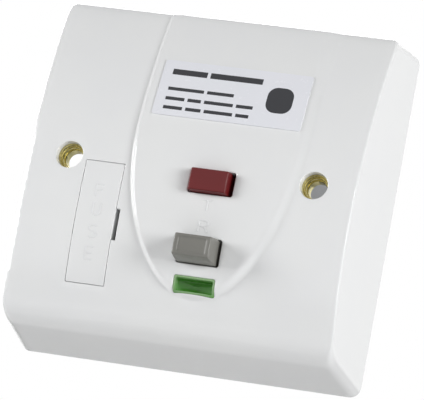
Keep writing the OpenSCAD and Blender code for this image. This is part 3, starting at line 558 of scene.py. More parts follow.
def grown(loop: np.ndarray, by: float) -> np.ndarray:
    """Moves a loop outwards, or inwards where the distance is negative."""
    edges = np.roll(loop, -1, axis=0) - loop
    edges = edges / np.linalg.norm(edges, axis=1, keepdims=True)
    after = np.stack([edges[:, 1], -edges[:, 0]], axis=1)
    before = np.roll(after, 1, axis=0)
    lean = 1 + np.sum(after * before, axis=1, keepdims=True)
    return loop + (after + before) / np.maximum(lean, 0.3) * by


def loop_distance(points: np.ndarray, loop: np.ndarray, closed: bool = True) -> np.ndarray:
    """Measures how far points are from a line.

    Args:
        points: The points, one row each.
        loop: Points of the line.
        closed: Whether the line's ends are joined.

    Returns:
        One distance a point.
    """
    ends = np.roll(loop, -1, axis=0) if closed else loop[1:]
    starts = loop if closed else loop[:-1]
    best = np.full(len(points), np.inf)
    for a, b in zip(starts, ends):
        along = b - a
        t = np.clip((points - a) @ along / max(along @ along, 1e-12), 0, 1)
        best = np.minimum(best, np.linalg.norm(points - a - t[:, None] * along, axis=1))
    return best


def inside(points: np.ndarray, loop: np.ndarray) -> np.ndarray:
    """Tells which points a loop goes round."""
    out = np.zeros(len(points), dtype=bool)
    for (ax, az), (bx, bz) in zip(loop, np.roll(loop, -1, axis=0)):
        if az == bz:
            continue
        crosses = (az > points[:, 1]) != (bz > points[:, 1])
        out ^= crosses & (points[:, 0] < (bx - ax) * (points[:, 1] - az) / (bz - az) + ax)
    return out


def settle(rises: Callable[[np.ndarray], np.ndarray], low: np.ndarray, high: np.ndarray,
           rounds: int) -> np.ndarray:
    """Halves spans until they are as good as one number each.

    Args:
        rises: Tells for the middles of the spans whether the lower end moves up to them.
        low: Lower ends.
        high: Upper ends.
        rounds: How often the spans are halved.

    Returns:
        The middles of the last spans.
    """
    for _ in range(rounds):
        mid = (low + high) / 2
        up = rises(mid)
        low, high = np.where(up, mid, low), np.where(up, high, mid)
    return (low + high) / 2


@dataclass
class Sheet:
    """A flat net of triangles inside an outline, ready to be given its depth.

    Attributes:
        outline: Outer loop.
        holes: Loops that the net leaves open.
        lines: Loops or open lines that the net's edges follow, with whether each is closed.
        step: Distance between the net's own points.
    """

    outline: np.ndarray
    holes: list[np.ndarray] = field(default_factory=list)
    lines: list[tuple[np.ndarray, bool]] = field(default_factory=list)
    step: float = 1.2

    def net(self) -> tuple[np.ndarray, np.ndarray]:
        """Fills the outline with triangles.

        Returns:
            The points and the triangles, as rows of point numbers.
        """
        points: list[np.ndarray] = []
        edges: list[tuple[int, int]] = []
        for loop, closed in [(self.outline, True)] + [(h, True) for h in self.holes] + self.lines:
            start = sum(len(p) for p in points)
            points.append(loop)
            count = len(loop)
            edges += [(start + k, start + (k + 1) % count) for k in range(count if closed else count - 1)]
        fixed = np.concatenate(points)
        low, high = self.outline.min(axis=0), self.outline.max(axis=0)
        rows = np.arange(low[1], high[1], self.step * math.sqrt(0.75))
        grid = np.array([(x + (self.step / 2 if k % 2 else 0), z)
                         for k, z in enumerate(rows) for x in np.arange(low[0], high[0], self.step)])
        grid = grid[inside(grid, self.outline)]
        for hole in self.holes:
            grid = grid[~inside(grid, hole)]
        near = np.full(len(grid), np.inf)
        for k in range(0, len(fixed), 400):
            part = np.linalg.norm(grid[:, None, :] - fixed[None, k:k + 400, :], axis=2)
            near = np.minimum(near, part.min(axis=1))
        grid = grid[near > self.step * 0.55]
        every = np.concatenate([fixed, grid])
        made = delaunay_2d_cdt([Vector(p) for p in every], edges, [], 0, 1e-5)
        points_out = np.array([(v.x, v.y) for v in made[0]])
        faces = np.array([f for f in made[2] if len(f) == 3])
        middle = points_out[faces].mean(axis=1)
        keep = inside(middle, self.outline)
        for hole in self.holes:
            keep &= ~inside(middle, hole)
        return points_out, faces[keep]


class Shaper:
    """Collects the sheets, walls and tubes of one piece in a single mesh."""

    def __init__(self) -> None:
        """Starts an empty mesh."""
        self.mesh = bmesh.new()

    def add_points(self, points: np.ndarray) -> list[bmesh.types.BMVert]:
        """Adds points given in millimetres."""
        return [self.mesh.verts.new(Vector(p) * MM) for p in points]

    def sheet(self, net: tuple[np.ndarray, np.ndarray], depth: HeightMap) -> None:
        """Adds a net at a depth.

        Args:
            net: Points and triangles of a Sheet.
            depth: Gives Y for rows of X and Z.
        """
        flat, faces = net
        made = self.add_points(np.stack([flat[:, 0], depth(flat), flat[:, 1]], axis=1))
        for a, b, c in faces:
            self.mesh.faces.new((made[a], made[b], made[c]))

    def walls(self, rings: Sequence[np.ndarray]) -> None:
        """Joins rings of as many points with quads.

        Args:
            rings: Arrays of X, Y and Z, one row a point.
        """
        levels = [self.add_points(ring) for ring in rings]
        count = len(levels[0])
        for low, high in zip(levels, levels[1:]):
            for k in range(count):
                self.mesh.faces.new((low[k], low[(k + 1) % count], high[(k + 1) % count], high[k]))

    def tube(self, outer: np.ndarray, inner: np.ndarray, y0: float, y1: float) -> None:
        """Adds a closed sleeve along Y.

        Args:
            outer: Outer loop.
            inner: Inner loop of as many points.
            y0: Front end.
            y1: Rear end.
        """
        rings = [(outer, y0), (outer, y1), (inner, y1), (inner, y0), (outer, y0)]
        self.walls([at_depth(loop, y) for loop, y in rings])

    def cap(self, ring: np.ndarray) -> None:
        """Closes a flat ring with one face."""
        self.mesh.faces.new(self.add_points(ring))

    def prism(self, loop: np.ndarray, y0: float, y1: float) -> None:
        """Adds a closed solid prism along Y."""
        front, back = (self.add_points(at_depth(loop, y)) for y in (y0, y1))
        count = len(loop)
        self.mesh.faces.new(front)
        self.mesh.faces.new(list(reversed(back)))
        for k in range(count):
            self.mesh.faces.new((front[k], back[k], back[(k + 1) % count], front[(k + 1) % count]))

    def spin(self, profile: Sequence[tuple[float, float]], x: float, z: float, steps: int = 64) -> None:
        """Turns a closed profile of radius and Y about a line along Y.

        Args:
            profile: Pairs of radius and Y.
            x: Place of the line on X.
            z: Place of the line on Z.
            steps: Steps round the circle.
        """
        rings = [at_depth(circle(x, z, r, steps), y) for r, y in profile]
        self.walls(rings + rings[:1])


class NodeGrower(NodeWriter):
    """Builds a Geometry Nodes tree with named inputs and runs it on a piece."""

    def __init__(self, name: str, finish: Finish) -> None:
        """Starts a tree.

        Args:
            name: Name of the tree.
            finish: Finish that its mesh ends in.
        """
        super().__init__(bpy.data.node_groups.new(name, "GeometryNodeTree"))
        self.finish = finish
        for way in ("INPUT", "OUTPUT"):
            self.tree.interface.new_socket("Geometry", in_out=way, socket_type="NodeSocketGeometry")
        self.start = self.node("NodeGroupInput")
        self.values: dict[str, object] = {}

    def given(self, name: str, value: object) -> bpy.types.NodeSocket:
        """Adds a named input with its value.

        Args:
            name: Name of the input.
            value: A whole number, a number, three numbers or an object.

        Returns:
            The input's socket in the tree.
        """
        value = float(value) if isinstance(value, np.floating) else value
        kinds = {int: "NodeSocketInt", float: "NodeSocketFloat", tuple: "NodeSocketVector"}
        kind = kinds.get(type(value), "NodeSocketObject")
        socket = self.tree.interface.new_socket(name, in_out="INPUT", socket_type=kind)
        self.values[socket.identifier] = value
        return self.start.outputs[name]

    def wire(self, path: bpy.types.NodeSocket, radius: bpy.types.NodeSocket, steps: int,
             caps: bool = True) -> bpy.types.NodeSocket:
        """Draws a round wire along a path.

        Args:
            path: The path, a curve.
            radius: Radius of the wire.
            steps: Steps round the wire.
            caps: Whether its ends are closed.

        Returns:
            The wire's mesh.
        """
        ring = self.out("GeometryNodeCurvePrimitiveCircle", {"Resolution": steps, "Radius": radius})
        return self.out("GeometryNodeCurveToMesh",
                        {"Curve": path, "Profile Curve": ring, "Fill Caps": caps})

    def run(self, geometry: bpy.types.NodeSocket, piece: bpy.types.Object) -> bpy.types.Object:
        """Closes the tree, runs it on a piece and makes the result a plain mesh.

        Args:
            geometry: The tree's last geometry.
            piece: The object that it grows on.

        Returns:
            The same object with its new mesh.
        """
        real = self.out("GeometryNodeRealizeInstances", {"Geometry": geometry})
        smooth = self.out("GeometryNodeSetShadeSmooth", {"Geometry": real})
        material = self.finish.material()
        dressed = self.out("GeometryNodeSetMaterial", {"Geometry": smooth, "Material": material})
        self.node("NodeGroupOutput", {0: dressed})
        modifier = piece.modifiers.new("grown", "NODES")
        modifier.node_group = self.tree
        for identifier, value in self.values.items():
            modifier[identifier] = value
        graph = bpy.context.evaluated_depsgraph_get()
        grown_mesh = bpy.data.meshes.new_from_object(piece.evaluated_get(graph))
        piece.modifiers.remove(modifier)
        piece.data = grown_mesh
        closed = bmesh.new()
        closed.from_mesh(grown_mesh)
        bmesh.ops.remove_doubles(closed, verts=closed.verts, dist=1e-7)
        bmesh.ops.recalc_face_normals(closed, faces=closed.faces)
        for edge in closed.edges:
            if len(edge.link_faces) == 2 and edge.calc_face_angle(0) > math.radians(50):
                edge.smooth = False
        closed.to_mesh(grown_mesh)
        closed.free()
        return piece


def line_object(name: str, lines: Sequence[np.ndarray], closed: bool = False) -> bpy.types.Object:
    """Makes an object of bare edges.

    Args:
        name: Name of the object.
        lines: Arrays of X, Y and Z in millimetres, one a line.
        closed: Whether each line's ends are joined.

    Returns:
        The object, linked to the scene.
    """
    points: list[Vector] = []
    edges: list[tuple[int, int]] = []
    for line in lines:
        first = len(points)
        points += [Vector(p) * MM for p in line]
        edges += [(k, k + 1) for k in range(first, len(points) - 1)]
        if closed:
            edges.append((len(points) - 1, first))
    data = bpy.data.meshes.new(name)
    data.from_pydata(points, edges, [])
    return new_object(name, data)


@dataclass
class SurfaceLines:
    """Strokes that follow a curved face: moulded letters, or print.

    Attributes:
        name: Name of the piece.
        finish: Its finish.
        width: Width of the strokes.
        rise: How far they stand off the face.
        sink: How far they reach into it.
        axis: Y and Z of the line about which the face curves.
    """

    name: str
    finish: Finish
    width: float
    rise: float
    sink: float
    axis: tuple[float, float]

    def make(self, lines: Sequence[np.ndarray], depth: HeightMap) -> bpy.types.Object:
        """Lays flat lines on a face and gives them their section.

        Args:
            lines: Arrays of X and Z.
            depth: Gives the face's Y.

        Returns:
            The finished piece.
        """
        piece = line_object(self.name, [with_depth(line, depth) for line in lines])
        pen = NodeGrower(self.name + "_tree", self.finish)
        reckon = lambda kind, inputs: pen.out("ShaderNodeVectorMath", inputs, operation=kind)
        width = pen.given("Width", self.width * MM)
        height = pen.given("Height", (self.rise + self.sink) * MM)
        lift = pen.given("Lift", (self.rise - self.sink) / 2 * MM)
        centre = pen.given("Centre", (0.0, self.axis[0] * MM, self.axis[1] * MM))
        away = reckon("SUBTRACT", {0: pen.out("GeometryNodeInputPosition"), 1: centre})
        up = reckon("NORMALIZE", {0: reckon("MULTIPLY", {0: away, 1: (0, 1, 1)})})
        path = pen.out("GeometryNodeMeshToCurve", {"Mesh": pen.start.outputs[0]})
        raised = pen.out("GeometryNodeSetPosition",
                         {"Geometry": path, "Offset": reckon("SCALE", {0: up, "Scale": lift})})
        turned = pen.out("GeometryNodeSetCurveNormal", {"Curve": raised, "Normal": up}, mode="FREE")
        section = pen.out("GeometryNodeCurvePrimitiveQuadrilateral", {"Width": height, "Height": width})
        round_r = 0.3 * min(self.rise + self.sink, self.width) * MM
        soft = pen.out("GeometryNodeFilletCurve", {"Curve": section, "Count": 3, "Radius": round_r},
                       mode="POLY")
        swept = pen.out("GeometryNodeCurveToMesh",
                        {"Curve": turned, "Profile Curve": soft, "Fill Caps": True})
        return pen.run(swept, piece)


def stroke(*points: tuple[float, float], step: float = 0.5) -> np.ndarray:
    """Gives an open line through points, with no longer edge than the step."""
    ends = np.array(points, dtype=float)
    out = [ends[0]]
    for a, b in zip(ends, ends[1:]):
        count = max(1, int(math.ceil(np.linalg.norm(b - a) / step)))
        out += [a + (b - a) * k / count for k in range(1, count + 1)]
    return np.array(out)


def arc_line(x: float, z: float, rx: float, rz: float, start: float, end: float, n: int = 14) -> np.ndarray:
    """Gives part of an ellipse as an open line, between two angles in degrees."""
    a = np.radians(np.linspace(start, end, n))
    return np.stack([x + rx * np.cos(a), z + rz * np.sin(a)], axis=1)


def letter_lines(letter: str, x: float, z: float, w: float, h: float) -> list[np.ndarray]:
    """Draws one of the letters that name a fuse, a test or a reset.

    Args:
        letter: F, U, S, E, T or R.
        x: Middle on X.
        z: Middle on Z.
        w: Width.
        h: Height.

    Returns:
        Its strokes, as arrays of X and Z.
    """
    left, right, low, top = x - w / 2, x + w / 2, z - h / 2, z + h / 2
    bar = lambda at, share=1.0: stroke((left, at), (left + w * share, at))
    stem = stroke((left, low), (left, top))
    if letter == "F":
        return [stem, bar(top), bar(z + 0.05 * h, 0.8)]
    if letter == "E":
        return [stem, bar(top), bar(z, 0.85), bar(low)]
    if letter == "U":
        bowl = arc_line(x, low + w / 2, w / 2, w / 2, 180, 360)
        return [np.concatenate([stroke((left, top), (left, low + w / 2))[:-1], bowl,
                                stroke((right, low + w / 2), (right, top))[1:]])]
    if letter == "S":
        upper = arc_line(x, z + h / 4, w / 2, h / 4, 35, 270)
        lower = arc_line(x, z - h / 4, w / 2, h / 4, 90, -145)
        return [np.concatenate([upper, lower[1:]])]
    if letter == "T":
        return [stroke((x, low), (x, top)), bar(top)]
    bowl = arc_line(x + 0.1 * w, z + h / 4, 0.4 * w, h / 4, 90, -90)
    return [stem, np.concatenate([stroke((left, top), (x, top)), bowl, stroke((x, z), (left, z))]),
            stroke((x + 0.1 * w, z), (right, low))]


@dataclass
class FrontPlate:
    """The white front moulding: curved face, raised tongue, rolled edges and its openings."""

    width: float = 86.0
    height: float = 86.0
    depth: float = 31.75
    face_r: float = 108.0
    crown_z: float = -8.7
    side_draft: float = math.radians(4.9)
    end_draft: float = math.radians(6.2)
    bottom_roll: float = 8.0
    top_roll: float = 2.2
    corner_r: float = 2.6
    edge_r: float = 0.8
    wall: float = 2.4
    tongue_w: float = 43.0
    tongue_x: float = 6.0
    tongue_shoulder: float = 12.0
    tongue_nose: float = 43.0
    nose_share: float = 0.65
    tongue_lift: float = 1.15
    tongue_fade: float = 1.05
    tongue_flank: float = 1.3
    right_flank: float = 3.4
    fixing_x: float = FIXING_X
    column_x: float = COLUMN_X

    def __post_init__(self) -> None:
        """Works out the outline of the tongue and the openings."""
        self.axis = np.array([self.face_r - self.depth, self.crown_z])
        self.rim = round_rect(0, 0, self.width, self.height, self.corner_r, 8, 0.9)
        column = ((TEST_Z, 10.9, 6.0), (RESET_Z, 10.4, 6.5), (WINDOW_Z, 10.1, 4.1))
        self.column_holes = [round_rect(self.column_x, z, w, h, 0.5, 5, 0.7) for z, w, h in column]
        self.eyelet_holes = [circle(side * self.fixing_x, 0, 3.35, 56) for side in (-1, 1)]
        self.carrier_hole = self.notched_opening()

    def notched_opening(self) -> np.ndarray:
        """Gives the carrier's opening with the pry slot in its right side."""
        width, height = 9.8, 29.7
        low, high = -19.3, -11.7
        loop = round_rect(CARRIER_X, CARRIER_Z, width, height, 0.25, 4)
        right = CARRIER_X + width / 2
        notch = np.array([(right, low), (right + 1, low), (right + 1, high), (right, high)])
        cut = len(loop) - 5
        return fine_loop(np.concatenate([loop[cut:], notch, loop[:cut]]), 0.8)

    def tongue_edge(self, inset: float, n: int = 120) -> np.ndarray:
        """Gives the tongue's outline as an open line from the top left to the top right.

        Args:
            inset: How far it is set in from the foot of the flank.
            n: Points on the curved end.

        Returns:
            The points.
        """
        a, b = self.tongue_w / 2 - inset, self.tongue_nose - self.nose_share * inset
        top = self.height / 2 + 6
        rise = np.arange(top, self.tongue_shoulder, -1.0)
        turn = np.radians(np.linspace(180, 360, n))
        bend = np.stack([self.tongue_x + a * np.cos(turn), self.tongue_shoulder + b * np.sin(turn)], axis=1)
        left = np.stack([np.full(len(rise), self.tongue_x - a), rise], axis=1)
        right = np.stack([np.full(len(rise), self.tongue_x + a), rise[::-1]], axis=1)
        return np.concatenate([left, bend, right])

    def tongue_share(self, flat: np.ndarray) -> np.ndarray:
        """Tells how far up the flank each point is, from 0 at its foot to 1 at its crest."""
        edge = self.tongue_edge(0, 60)
        away = loop_distance(flat, edge, closed=False)
        within = inside(flat, edge)
        sideways = np.clip(np.abs(flat[:, 0] - self.tongue_x) * 2 / self.tongue_w, 0, 1)
        low = flat[:, 1] < self.tongue_shoulder
        to_right = smooth_step((flat[:, 0] - self.tongue_x) / self.tongue_w + 0.5)
        side_width = self.tongue_flank + (self.right_flank - self.tongue_flank) * to_right
        width = side_width * np.where(low, self.nose_share + (1 - self.nose_share) * sideways, 1)
        return smooth_step(np.where(within, away, -away) / width)

    def rise(self, flat: np.ndarray) -> np.ndarray:
        """Gives the tongue's height over the face for rows of X and Z."""
        z = flat[:, 1]
        low = self.axis[0] - np.sqrt(self.face_r**2 - (z - self.crown_z) ** 2)
        tongue_r = self.face_r + self.tongue_lift
        high = self.axis[0] - np.sqrt(tongue_r**2 - (z - self.crown_z + self.tongue_fade) ** 2)
        return (low - high) * self.tongue_share(flat)

    def fillet(self, up: int, r: float) -> tuple[np.ndarray, np.ndarray, np.ndarray]:
        """Gives the centre of an end fillet and the two directions that bound it.

        Args:
            up: 1 for the top edge and -1 for the bottom edge.
            r: Radius of the fillet.

        Returns:
            The centre and two unit directions, in Y and Z.
        """
        e = self.end_draft
        u = np.array([-math.cos(e), -up * math.sin(e)])
        n = np.array([math.sin(e), -up * math.cos(e)])
        start = np.array([0, up * self.height / 2])
        q = start + n * r - self.axis
        along = -(q @ u) + math.sqrt((q @ u) ** 2 - q @ q + (self.face_r - r) ** 2)
        centre = start + n * r + u * along
        to_face = (centre - self.axis) / np.linalg.norm(centre - self.axis)
        return centre, to_face, -n

    def profile(self, y: np.ndarray, z: np.ndarray) -> tuple[np.ndarray, np.ndarray]:
        """Measures the distance to the plate's side profile.

        Args:
            y: Depths.
            z: Heights.

        Returns:
            The distance, negative inside, and how much of it belongs to an end edge.
        """
        e = self.end_draft
        d_face = np.hypot(y - self.axis[0], z - self.axis[1]) - self.face_r
        d_top = (z - self.height / 2) * math.cos(e) - y * math.sin(e)
        d_low = (-z - self.height / 2) * math.cos(e) - y * math.sin(e)
        d_end = np.maximum(d_top, d_low)
        out = np.maximum(d_face, d_end)
        for up, r in ((1, self.top_roll), (-1, self.bottom_roll)):
            centre, first, last = self.fillet(up, r)
            vy, vz = y - centre[0], z - centre[1]
            side = np.sign(first[0] * last[1] - first[1] * last[0])
            within = (side * (first[0] * vz - first[1] * vy) > 0) & (side * (vy * last[1] - vz * last[0]) > 0)
            out = np.where(within, np.hypot(vy, vz) - r, out)
        return out, smooth_step((d_end - d_face + 4) / 8)

    def outside(self, x: np.ndarray, y: np.ndarray, z: np.ndarray, inset: float = 0.0) -> np.ndarray:
        """Measures the distance to the plate's outer skin.

        Args:
            x: Places on X.
            y: Places on Y.
            z: Places on Z.
            inset: How far the skin is set in.

        Returns:
            The distances, negative inside.
        """
        d_profile, share = self.profile(y, z)
        t = self.side_draft
        d_side = (np.abs(x) - self.width / 2 - y * math.tan(t)) * math.cos(t)
        r = self.edge_r + (self.corner_r - self.edge_r) * share
        both = np.hypot(np.maximum(d_profile + r, 0), np.maximum(d_side + r, 0))
        return np.minimum(np.maximum(d_profile, d_side), -r) + both + inset

    def lift_share(self, y: np.ndarray) -> np.ndarray:
        """Tells how much of the tongue's height counts at a depth: all in front, none at the wall."""
        fade_from, fade_over = 5, 10
        return smooth_step((-y - fade_from) / fade_over)

    def skin_y(self, flat: np.ndarray, inset: float = 0.0, lift: np.ndarray | float = 0.0) -> np.ndarray:
        """Finds the depth of the skin at rows of X and Z.

        Args:
            flat: Rows of X and Z.
            inset: How far the skin is set in.
            lift: Height of the tongue at each row.

        Returns:
            One Y a row.
        """
        x, z = flat.T
        clear = lambda y: self.outside(x, y + lift * self.lift_share(y), z, inset) > 0
        return settle(clear, np.full(len(flat), -self.depth - 3), np.full(len(flat), 1.0), 34)

    def brow(self, inset: float) -> np.ndarray:
        """Finds, on lines from the middle to the rim, where the skin turns steep.

        Args:
            inset: How far the skin is set in.

        Returns:
            A loop of X and Z, one point for each point of the rim.
        """
        core_size, samples, steep_slope = 0.62, 160, 0.85
        core = self.rim * core_size
        share = np.linspace(0, 1, samples)
        lines = core[:, None, :] + (self.rim - core)[:, None, :] * share[None, :, None]
        depth = self.skin_y(lines.reshape(-1, 2), inset).reshape(len(core), -1)
        run = np.linalg.norm(self.rim - core, axis=1) / (len(share) - 1)
        steep = np.diff(depth, axis=1) / run[:, None] > steep_slope
        first = np.argmax(steep, axis=1)
        return lines[np.arange(len(core)), first]

    def within(self, brow: np.ndarray, share: np.ndarray, y: np.ndarray, inset: float,
               lifted: bool) -> np.ndarray:
        """Tells whether points on the lines from the brow to the rim are inside the skin.

        Args:
            brow: Loop where the sides begin.
            share: Place of each point on its line, 0 at the brow and 1 at the rim.
            y: Depths of the points.
            inset: How far the skin is set in.
            lifted: Whether the tongue's height is added.

        Returns:
            One answer a point.
        """
        flat = brow + (self.rim - brow) * share[:, None]
        lift = self.rise(flat) if lifted else 0.0
        return ~(self.outside(flat[:, 0], y + lift * self.lift_share(y), flat[:, 1], inset) > 0)

    def side_rings(self, brow: np.ndarray, inset: float, drops: Sequence[float],
                   lifted: bool) -> list[np.ndarray]:
        """Follows the skin from the brow down to the wall in rings.

        Args:
            brow: Loop where the sides begin.
            inset: How far the skin is set in.
            drops: Distances behind the brow, for the first rings.
            lifted: Whether the tongue's height is added.

        Returns:
            The rings, as arrays of X, Y and Z.
        """
        lift = self.rise(brow) if lifted else 0.0
        top = self.skin_y(brow, inset, lift)
        rings = [at_depth(brow, top)]
        last = top + drops[-1]
        levels = [top + d for d in drops] + [last * (1 - f) for f in (0.35, 0.7, 1.0)]
        for level in levels:
            share = settle(lambda mid: self.within(brow, mid, level, inset, lifted),
                           np.zeros(len(brow)), np.full(len(brow), 1.02), 30)
            rings.append(at_depth(brow + (self.rim - brow) * share[:, None], level))
        return rings

    def openings(self) -> list[tuple[np.ndarray, float]]:
        """Lists each opening's loop and the radius of its lip."""
        return ([(hole, 0.3) for hole in self.column_holes] + [(self.carrier_hole, 0.12)]
                + [(hole, 0.2) for hole in self.eyelet_holes])

    def smooth_face(self, flat: np.ndarray) -> np.ndarray:
        """Gives the depth of the face with its tongue and without its openings."""
        return self.skin_y(flat, 0.0, self.rise(flat))

    def face_depth(self, flat: np.ndarray) -> np.ndarray:
        """Gives the depth of the finished face, with its tongue and its rounded lips."""
        y = self.smooth_face(flat)
        for loop, r in self.openings():
            gap = np.minimum(loop_distance(flat, loop), r)
            y = y + r - np.sqrt(np.maximum(r**2 - (r - gap) ** 2, 0))
        return y

    def make(self) -> bpy.types.Object:
        """Builds the moulding as one closed mesh.

        Returns:
            The finished object.
        """
        shaper = Shaper()
        brow = self.brow(0.0)
        holes = [loop for loop, _ in self.openings()]
        lines = [(grown(loop, r * s), True) for loop, r in self.openings() for s in (0.12, 0.4, 1.0)]
        fence = grown(brow, -0.7)
        flank_insets = (-0.5, 0.0, 0.2, 0.45, 0.75, 1.05, 1.3, 1.6, 2.1, 2.7, 3.4, 4.1)
        for line in map(self.tongue_edge, flank_insets):
            lines.append((line[inside(line, fence)], False))
        shaper.sheet(Sheet(brow, holes, lines, 1.3).net(), self.face_depth)
        outer_drops = (0.1, 0.22, 0.4, 0.65, 1.0, 1.5, 2.2, 3.2, 4.5, 6.0, 8.0)
        outer = self.side_rings(brow, 0.0, outer_drops, True)
        inner_brow = self.brow(self.wall)
        back = lambda flat: self.skin_y(flat, self.wall)
        shaper.sheet(Sheet(inner_brow, holes, [], 2.5).net(), back)
        inner = self.side_rings(inner_brow, self.wall, (0.4, 1.2, 3.0, 8.0), False)
        shaper.walls(outer)
        shaper.walls(inner)
        shaper.walls([outer[-1], inner[-1]])
        for loop in holes:
            shaper.walls([with_depth(loop, self.face_depth), with_depth(loop, back)])
        self.add_inner_walls(shaper)
        return finish_object(shaper.mesh, "front_moulding", Finish.PLATE)

    def add_inner_walls(self, shaper: Shaper) -> None:
        """Adds the guides, the fuse tunnel, the eyelet bosses and the screw posts behind the face."""
        guide_w, guide_wall, guide_end = 13.0, 1.0, -24.5
        for z, h, front in ((TEST_Z, 6.0, -29.3), (RESET_Z, 6.5, -29.0)):
            hole = round_rect(self.column_x, z, guide_w, h, 0.3, 3)
            sleeve = round_rect(self.column_x, z, guide_w + 2 * guide_wall, h + 2 * guide_wall, 0.3, 3)
            shaper.tube(sleeve, hole, front, guide_end)
        tunnel = round_rect(CARRIER_X, CARRIER_Z, 9.84, 29.74, 0.5, 3)
        shaper.tube(round_rect(CARRIER_X, CARRIER_Z, 12.2, 32.1, 0.6, 3), tunnel, -28.0, -14.0)
        boss_r, seat_r, post_r, pilot_r = 4.8, 3.33, 3.5, 1.4
        for side in (-1, 1):
            x = side * self.fixing_x
            shaper.tube(circle(x, 0, boss_r), circle(x, 0, seat_r), -29.6, -24.0)
            x = side * POST_X
            for z, front in ((-SCREW_Z, -29.0), (SCREW_Z, -25.0)):
                shaper.tube(circle(x, z, post_r), circle(x, z, pilot_r), front, -12.0)


@dataclass
class PushButton:
    """A button: cap with rounded edges and a sunk panel, a lip behind the plate and a stem.

    Attributes:
        name: Name of the piece.
        node: Node that it stands for and body that it moves with.
        finish: Its finish.
        slot: Material slot of the record.
        z: Height of its middle.
        size: Width and height at the foot.
        front: Width and height of the front.
        face: Y of the front.
        slope: Length over which the cap narrows.
        edge: Radius of the front edge.
        lip: Y of the lip's front, its thickness and its reach on each side.
        stem: Width of the stem and the Y of its end.
        shift: How far the foot stands right of the column.
        panel: Width, height and depth of the sunk panel, or zeros.
        dish: Depth of the hollow in the front.
        front_shift: How far the front stands right of the column.
        column_x: Middle of the column on X.
        corner: Radius of the cap's upright edges.
    """

    name: str
    node: str
    finish: Finish
    slot: str
    z: float
    size: tuple[float, float]
    front: tuple[float, float]
    face: float
    slope: float
    edge: float
    lip: tuple[float, float, float]
    stem: tuple[float, float]
    shift: float
    panel: tuple[float, float, float] = (0, 0, 0)
    dish: float = 0.05
    front_shift: float = -0.45
    column_x: float = COLUMN_X
    corner: float = 0.35

    def front_depth(self, flat: np.ndarray) -> np.ndarray:
        """Gives the depth of the front, with its hollow and its panel."""
        x = self.column_x + self.front_shift
        across = 1 - np.clip(2 * np.abs(flat[:, 1] - self.z) / self.front[1], 0, 1) ** 2
        depth = np.full(len(flat), self.face) + self.dish * across
        if self.panel[0]:
            edge = round_rect(x, self.z, self.panel[0], self.panel[1], 0.5, 5)
            gap = loop_distance(flat, edge)
            within = inside(flat, edge)
            depth = depth + np.where(within, smooth_step(gap / 0.35) * self.panel[2], 0)
        return depth

    def make(self) -> bpy.types.Object:
        """Builds the button as closed shells.

        Returns:
            The finished object.
        """
        shaper = Shaper()
        foot_x, x = self.column_x + self.shift, self.column_x + self.front_shift
        r = self.edge
        ring = lambda at, w, h, y: at_depth(even_rect(at, self.z, w, h, self.corner, 5, 8), y)
        (w, h), (fw, fh) = self.size, self.front
        rings = [ring(foot_x, w, h, self.lip[0] + 0.1), ring(foot_x, w, h, self.face + self.slope)]
        rings.append(ring(x, fw, fh, self.face + r))
        for turn in (22, 45, 68):
            cut = r * (1 - math.cos(math.radians(turn)))
            drop = r * (1 - math.sin(math.radians(turn)))
            rings.append(ring(x, fw - 2 * cut, fh - 2 * cut, self.face + drop))
        rim = even_rect(x, self.z, fw - 2 * r, fh - 2 * r, 0.3, 5, 8)
        rings.append(with_depth(rim, self.front_depth))
        shaper.walls(rings)
        lines = []
        if self.panel[0]:
            for cut in (0.0, 0.12, 0.24, 0.36):
                w_in, h_in = (side - 2 * cut for side in self.panel[:2])
                lines.append((round_rect(x, self.z, w_in, h_in, 0.45, 5, 0.5), True))
        shaper.sheet(Sheet(rim, [], lines, 0.5).net(), self.front_depth)
        shaper.cap(rings[0])
        y, t, reach = self.lip
        foot_w = w + 2 * abs(self.shift) + 2 * reach
        shaper.prism(round_rect(self.column_x, self.z, foot_w, h, 0.3, 3), y, y + t)
        stem_w, stem_end = self.stem
        shaper.prism(round_rect(self.column_x, self.z, stem_w, stem_w, 0.25, 3), y + t, stem_end)
        return finish_object(shaper.mesh, self.name, self.finish)


@dataclass
class LensTray:
    """The green window: a tray that follows the tongue at its rim and shows the flag through its floor."""

    x: float = COLUMN_X
    z: float = WINDOW_Z
    width: float = 10.0
    height: float = 4.0
    wall: float = 0.45
    rim_sink: float = 0.15
    floor_y: float = -28.4471
    lip: tuple[float, float, float] = (-27.0398, 1.0, 1.0)

    def make(self, face: HeightMap) -> bpy.types.Object:
        """Builds the tray as closed shells.

        Args:
            face: Gives the depth of the tongue.

        Returns:
            The finished object.
        """
        shaper = Shaper()
        loop = lambda cut, r: even_rect(self.x, self.z, self.width - 2 * cut, self.height - 2 * cut, r, 5, 10)
        rim = lambda flat: face(flat) + self.rim_sink
        rings = [at_depth(loop(0, 0.45), self.lip[0])]
        for cut, drop in ((0.0, 0.1), (0.03, 0.03), (0.1, 0.0)):
            rings.append(with_depth(loop(cut, 0.42), lambda flat: rim(flat) + drop))
        for cut, drop in ((self.wall - 0.12, 0.0), (self.wall - 0.03, 0.04), (self.wall, 0.14)):
            rings.append(with_depth(loop(cut, 0.35), lambda flat: rim(flat) + drop))
        for cut, lift in ((self.wall + 0.02, 0.5), (self.wall + 0.1, 0.15), (self.wall + 0.3, 0.0)):
            rings.append(at_depth(loop(cut, 0.3), self.floor_y - lift))
        shaper.walls(rings)
        shaper.cap(rings[-1])
        shaper.cap(rings[0])
        y, t, reach = self.lip
        shaper.prism(round_rect(self.x, self.z, self.width + 0.1 + 2 * reach, self.height, 0.2, 3), y, y + t)
        return finish_object(shaper.mesh, "window_lens", Finish.LENS)


